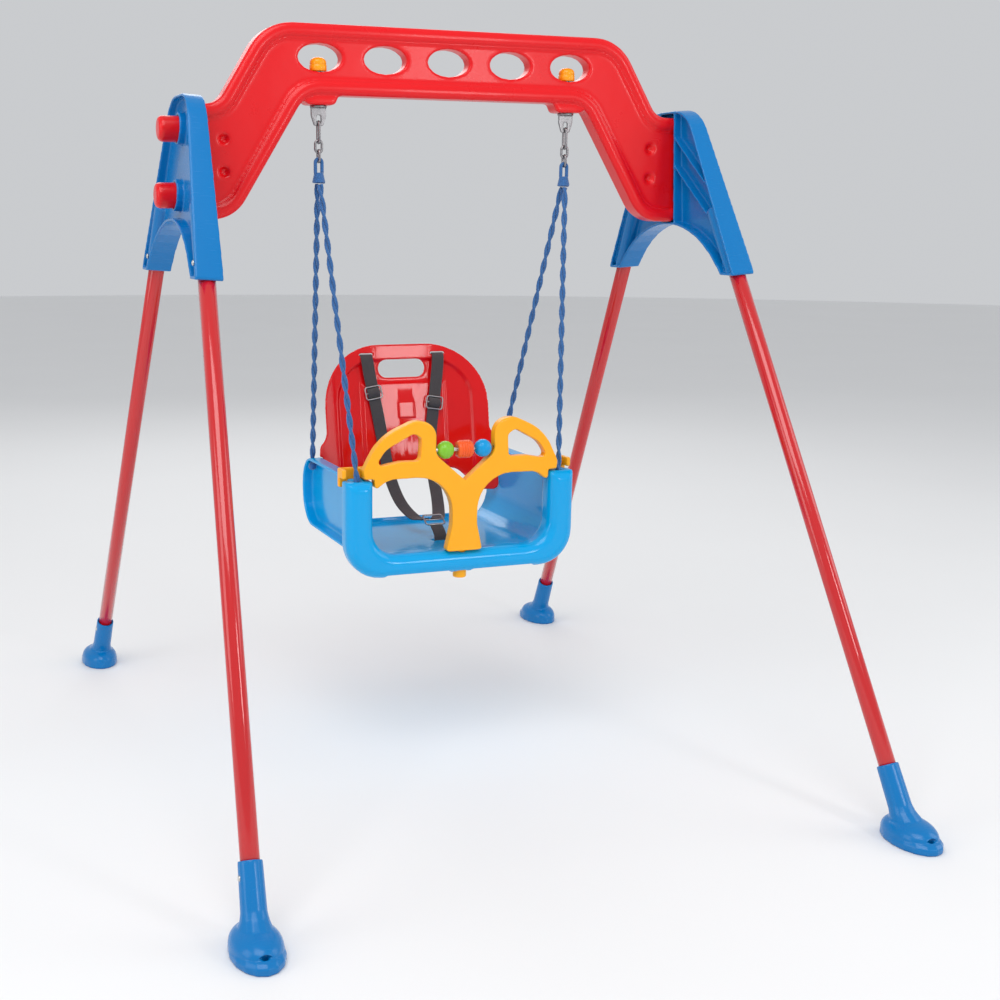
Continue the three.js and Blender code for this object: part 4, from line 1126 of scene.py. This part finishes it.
# %% Material helper
def material(name):
    made = bpy.data.materials.new(name)
    made.use_nodes = True
    tree = made.node_tree
    tree.nodes.clear()
    output = node(tree, "ShaderNodeOutputMaterial")
    shader = node(tree, "ShaderNodeBsdfPrincipled")
    tree.links.new(shader.outputs["BSDF"], output.inputs["Surface"])
    return made, tree, shader


def use_group(tree, shared, vector, **values):
    made = node(tree, "ShaderNodeGroup", node_tree=shared)
    tree.links.new(vector, made.inputs["Vector"])
    for key, value in values.items():
        made.inputs[key.replace("_", " ")].default_value = value
    return made


def bump(tree, height, shader, distance, strength=1.0):
    made = node(tree, "ShaderNodeBump")
    made.inputs["Distance"].default_value = distance
    made.inputs["Strength"].default_value = strength
    tree.links.new(height, made.inputs["Height"])
    tree.links.new(made.outputs["Normal"], shader.inputs["Normal"])


# %% [markdown]
# ### Moulded plastic
# Toy plastic is coloured right through, glossy from a polished mould, and its
# gloss is broken by a faint waviness. That waviness is what makes the light
# run unevenly along an edge.


# %% Moulded plastic
def moulded_plastic(name, colour, gloss=0.16, dull=0.08, flow=0.5, grain=0.05):
    made, tree, shader = material(name)
    where = node(tree, "ShaderNodeTexCoord").outputs["Object"]
    tint = use_group(tree, drift, where, Colour=(*colour, 1), Amount=0.10, Scale=7.0)
    tree.links.new(tint.outputs["Colour"], shader.inputs["Base Color"])
    dulling = use_group(tree, handling, where, Clean=gloss, Dull=dull)
    tree.links.new(dulling.outputs["Roughness"], shader.inputs["Roughness"])
    surface = use_group(tree, moulded_skin, where, Flow=flow, Grain=grain)
    bump(tree, surface.outputs["Height"], shader, 0.0012, 0.5)
    shader.inputs["IOR"].default_value = 1.42
    shader.inputs["Specular IOR Level"].default_value = 0.4
    shader.inputs["Subsurface Weight"].default_value = 0.04
    shader.inputs["Subsurface Radius"].default_value = (0.004, 0.002, 0.002)
    shader.inputs["Coat Weight"].default_value = 0.12
    shader.inputs["Coat Roughness"].default_value = 0.05
    return made


# %% [markdown]
# ### Paint and plating
# Powder paint is a clear, glossy skin over colour, so it has a coat. Zinc
# plating is bare metal with a cloudy grain, so it has no coat and its
# roughness does the work.

# %% Painted tube
def painted_steel(name, colour):
    made, tree, shader = material(name)
    where = node(tree, "ShaderNodeTexCoord").outputs["Object"]
    tint = use_group(tree, drift, where, Colour=(*colour, 1), Amount=0.12, Scale=5.0)
    tree.links.new(tint.outputs["Colour"], shader.inputs["Base Color"])
    dulling = use_group(tree, handling, where, Clean=0.10, Dull=0.06)
    tree.links.new(dulling.outputs["Roughness"], shader.inputs["Roughness"])
    orange_peel = use_group(tree, moulded_skin, where, Flow=0.15, Grain=0.25)
    bump(tree, orange_peel.outputs["Height"], shader, 0.0006, 0.4)
    shader.inputs["Coat Weight"].default_value = 0.6
    shader.inputs["Coat Roughness"].default_value = 0.05
    return made


# %% Zinc-plated steel
def plated_steel(name, colour, roughness):
    made, tree, shader = material(name)
    where = node(tree, "ShaderNodeTexCoord").outputs["Object"]
    tint = use_group(tree, drift, where, Colour=(*colour, 1), Amount=0.35, Scale=160.0)
    tree.links.new(tint.outputs["Colour"], shader.inputs["Base Color"])
    dulling = use_group(tree, handling, where, Clean=roughness, Dull=0.18)
    tree.links.new(dulling.outputs["Roughness"], shader.inputs["Roughness"])
    pits = use_group(tree, moulded_skin, where, Flow=0.1, Grain=0.4)
    bump(tree, pits.outputs["Height"], shader, 0.0003, 0.5)
    shader.inputs["Metallic"].default_value = 1.0
    return made


# %% [markdown]
# ### Rope and webbing
# Both are spun from fine threads. They are dull, and they catch a little light
# at a grazing angle, which is what sheen does. The rope's colour breaks up
# along its yarns, and the strap's weave is drawn in its own coordinates.


# %% Rope fibre
def rope_fibre(name, colour):
    made, tree, shader = material(name)
    where = node(tree, "ShaderNodeTexCoord").outputs["Object"]
    tint = use_group(tree, drift, where, Colour=(*colour, 1), Amount=0.9, Scale=420.0)
    tree.links.new(tint.outputs["Colour"], shader.inputs["Base Color"])
    fuzz = noise(tree, where, 1800.0, 3, 0.7)
    bump(tree, fuzz, shader, 0.0005, 0.8)
    shader.inputs["Roughness"].default_value = 0.72
    shader.inputs["Sheen Weight"].default_value = 0.35
    shader.inputs["Sheen Roughness"].default_value = 0.5
    return made


# %% Woven webbing
def woven_webbing(name, colour):
    made, tree, shader = material(name)
    across = node(tree, "ShaderNodeTexCoord").outputs["UV"]
    where = node(tree, "ShaderNodeTexCoord").outputs["Object"]
    threads = use_group(tree, weave, across, Threads=620.0)
    tint = use_group(tree, drift, where, Colour=(*colour, 1), Amount=0.35, Scale=240.0)
    # The weave's painted shade darkens the strap's colour between its threads.
    shaded = node(tree, "ShaderNodeMix", data_type="RGBA", blend_type="MULTIPLY")
    shaded.inputs["Factor"].default_value = 1.0
    tree.links.new(tint.outputs["Colour"], shaded.inputs[6])
    tree.links.new(threads.outputs["Shade"], shaded.inputs[7])
    tree.links.new(shaded.outputs[2], shader.inputs["Base Color"])
    bump(tree, threads.outputs["Height"], shader, 0.0004, 0.7)
    shader.inputs["Roughness"].default_value = 0.62
    shader.inputs["Sheen Weight"].default_value = 0.25
    return made


# %% The finishes, by the record's slots
finishes = {
    "beam_red": moulded_plastic(
        "beam plastic, red", (0.76, 0.004, 0.008), gloss=0.24, flow=0.8),
    "frame_blue": moulded_plastic("bracket plastic, blue", (0.0, 0.175, 0.48), gloss=0.20),
    "leg_red": painted_steel("leg paint, red", (0.56, 0.003, 0.006)),
    "screw_steel": plated_steel("screw plating", (0.66, 0.65, 0.62), 0.24),
    "cap_yellow": moulded_plastic("cap plastic, yellow", (0.95, 0.36, 0.01)),
    "chain_steel": plated_steel("chain plating", (0.30, 0.29, 0.30), 0.24),
    "rope_blue": rope_fibre("rope, blue", (0.020, 0.120, 0.34)),
    "webbing": woven_webbing("harness webbing, dark", (0.050, 0.042, 0.046)),
    "buckle_steel": plated_steel("buckle plating", (0.40, 0.385, 0.39), 0.22),
    "seat_blue": moulded_plastic(
        "seat plastic, blue", (0.0, 0.36, 0.76), gloss=0.12, dull=0.05, flow=0.6),
    "back_red": moulded_plastic(
        "backrest plastic, red", (0.74, 0.003, 0.006), gloss=0.07, dull=0.03, grain=0.02),
    "bar_yellow": moulded_plastic("bar plastic, yellow", (0.98, 0.42, 0.008), gloss=0.28),
    "bead_green": moulded_plastic("bead plastic, green", (0.22, 0.55, 0.035)),
    "bead_orange": moulded_plastic("bead plastic, orange", (0.90, 0.12, 0.02)),
    "bead_blue": moulded_plastic("bead plastic, blue", (0.0, 0.32, 0.70)),
}
node_slots = {part["node"]: part["material_slot"] for part in frame["record"]["subparts"]}
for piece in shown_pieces():
    slot = piece.get("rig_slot") or node_slots.get(piece.get("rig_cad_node"))
    piece.data.materials.clear()
    piece.data.materials.append(finishes[slot])

# %% [markdown]
# ## Floor and light
# A pale, plain floor and large soft lights show the colours as they are. The
# big light above and in front is bright enough to draw a highlight along each
# rounded edge. A weaker one on the other side keeps the shaded faces readable.

# %% Floor
floor_mesh = bpy.data.meshes.new("floor")
build = bmesh.new()
bmesh.ops.create_circle(build, cap_ends=True, radius=14, segments=96)
build.to_mesh(floor_mesh)
build.free()
floor = bpy.data.objects.new("floor", floor_mesh)
bpy.context.scene.collection.objects.link(floor)
floor_look, tree, shader = material("pale floor")
where = node(tree, "ShaderNodeTexCoord").outputs["Object"]
pale = use_group(tree, drift, where, Colour=(0.86, 0.86, 0.86, 1), Amount=0.03, Scale=1.5)
tree.links.new(pale.outputs["Colour"], shader.inputs["Base Color"])
shader.inputs["Roughness"].default_value = 0.75
shader.inputs["Specular IOR Level"].default_value = 0.2
floor_mesh.materials.append(floor_look)


# %% Lights
def softbox(name, place_of, target, width, height, watts):
    data = bpy.data.lights.new(name, "AREA")
    data.shape = "RECTANGLE"
    data.size, data.size_y, data.energy = width, height, watts
    lamp = bpy.data.objects.new(name, data)
    bpy.context.scene.collection.objects.link(lamp)
    lamp.location = place_of
    lamp.rotation_euler = (Vector(target) - Vector(place_of)).to_track_quat("-Z", "Y").to_euler()
    return lamp


MIDDLE = (0, 0, 0.6)
softbox("light_above", (-1.2, -1.8, 3.4), MIDDLE, 2.4, 2.4, 58)
softbox("light_front", (1.05, -2.60, 1.16), (0, 0.1, 0.6), 0.35, 0.9, 9)
softbox("light_right", (3.0, -1.2, 1.8), MIDDLE, 1.6, 2.2, 18)
softbox("light_left", (-3.0, -0.6, 1.4), MIDDLE, 1.4, 2.2, 16)
softbox("light_behind", (0.6, 3.2, 2.6), MIDDLE, 2.4, 1.6, 22)

world = bpy.data.worlds.new("studio")
world.use_nodes = True
sky = world.node_tree.nodes["Background"]
sky.inputs["Color"].default_value = (0.95, 0.97, 1.0, 1)
sky.inputs["Strength"].default_value = 0.62
bpy.context.scene.world = world
bpy.context.scene.view_settings.view_transform = "Standard"
print("5 lights")
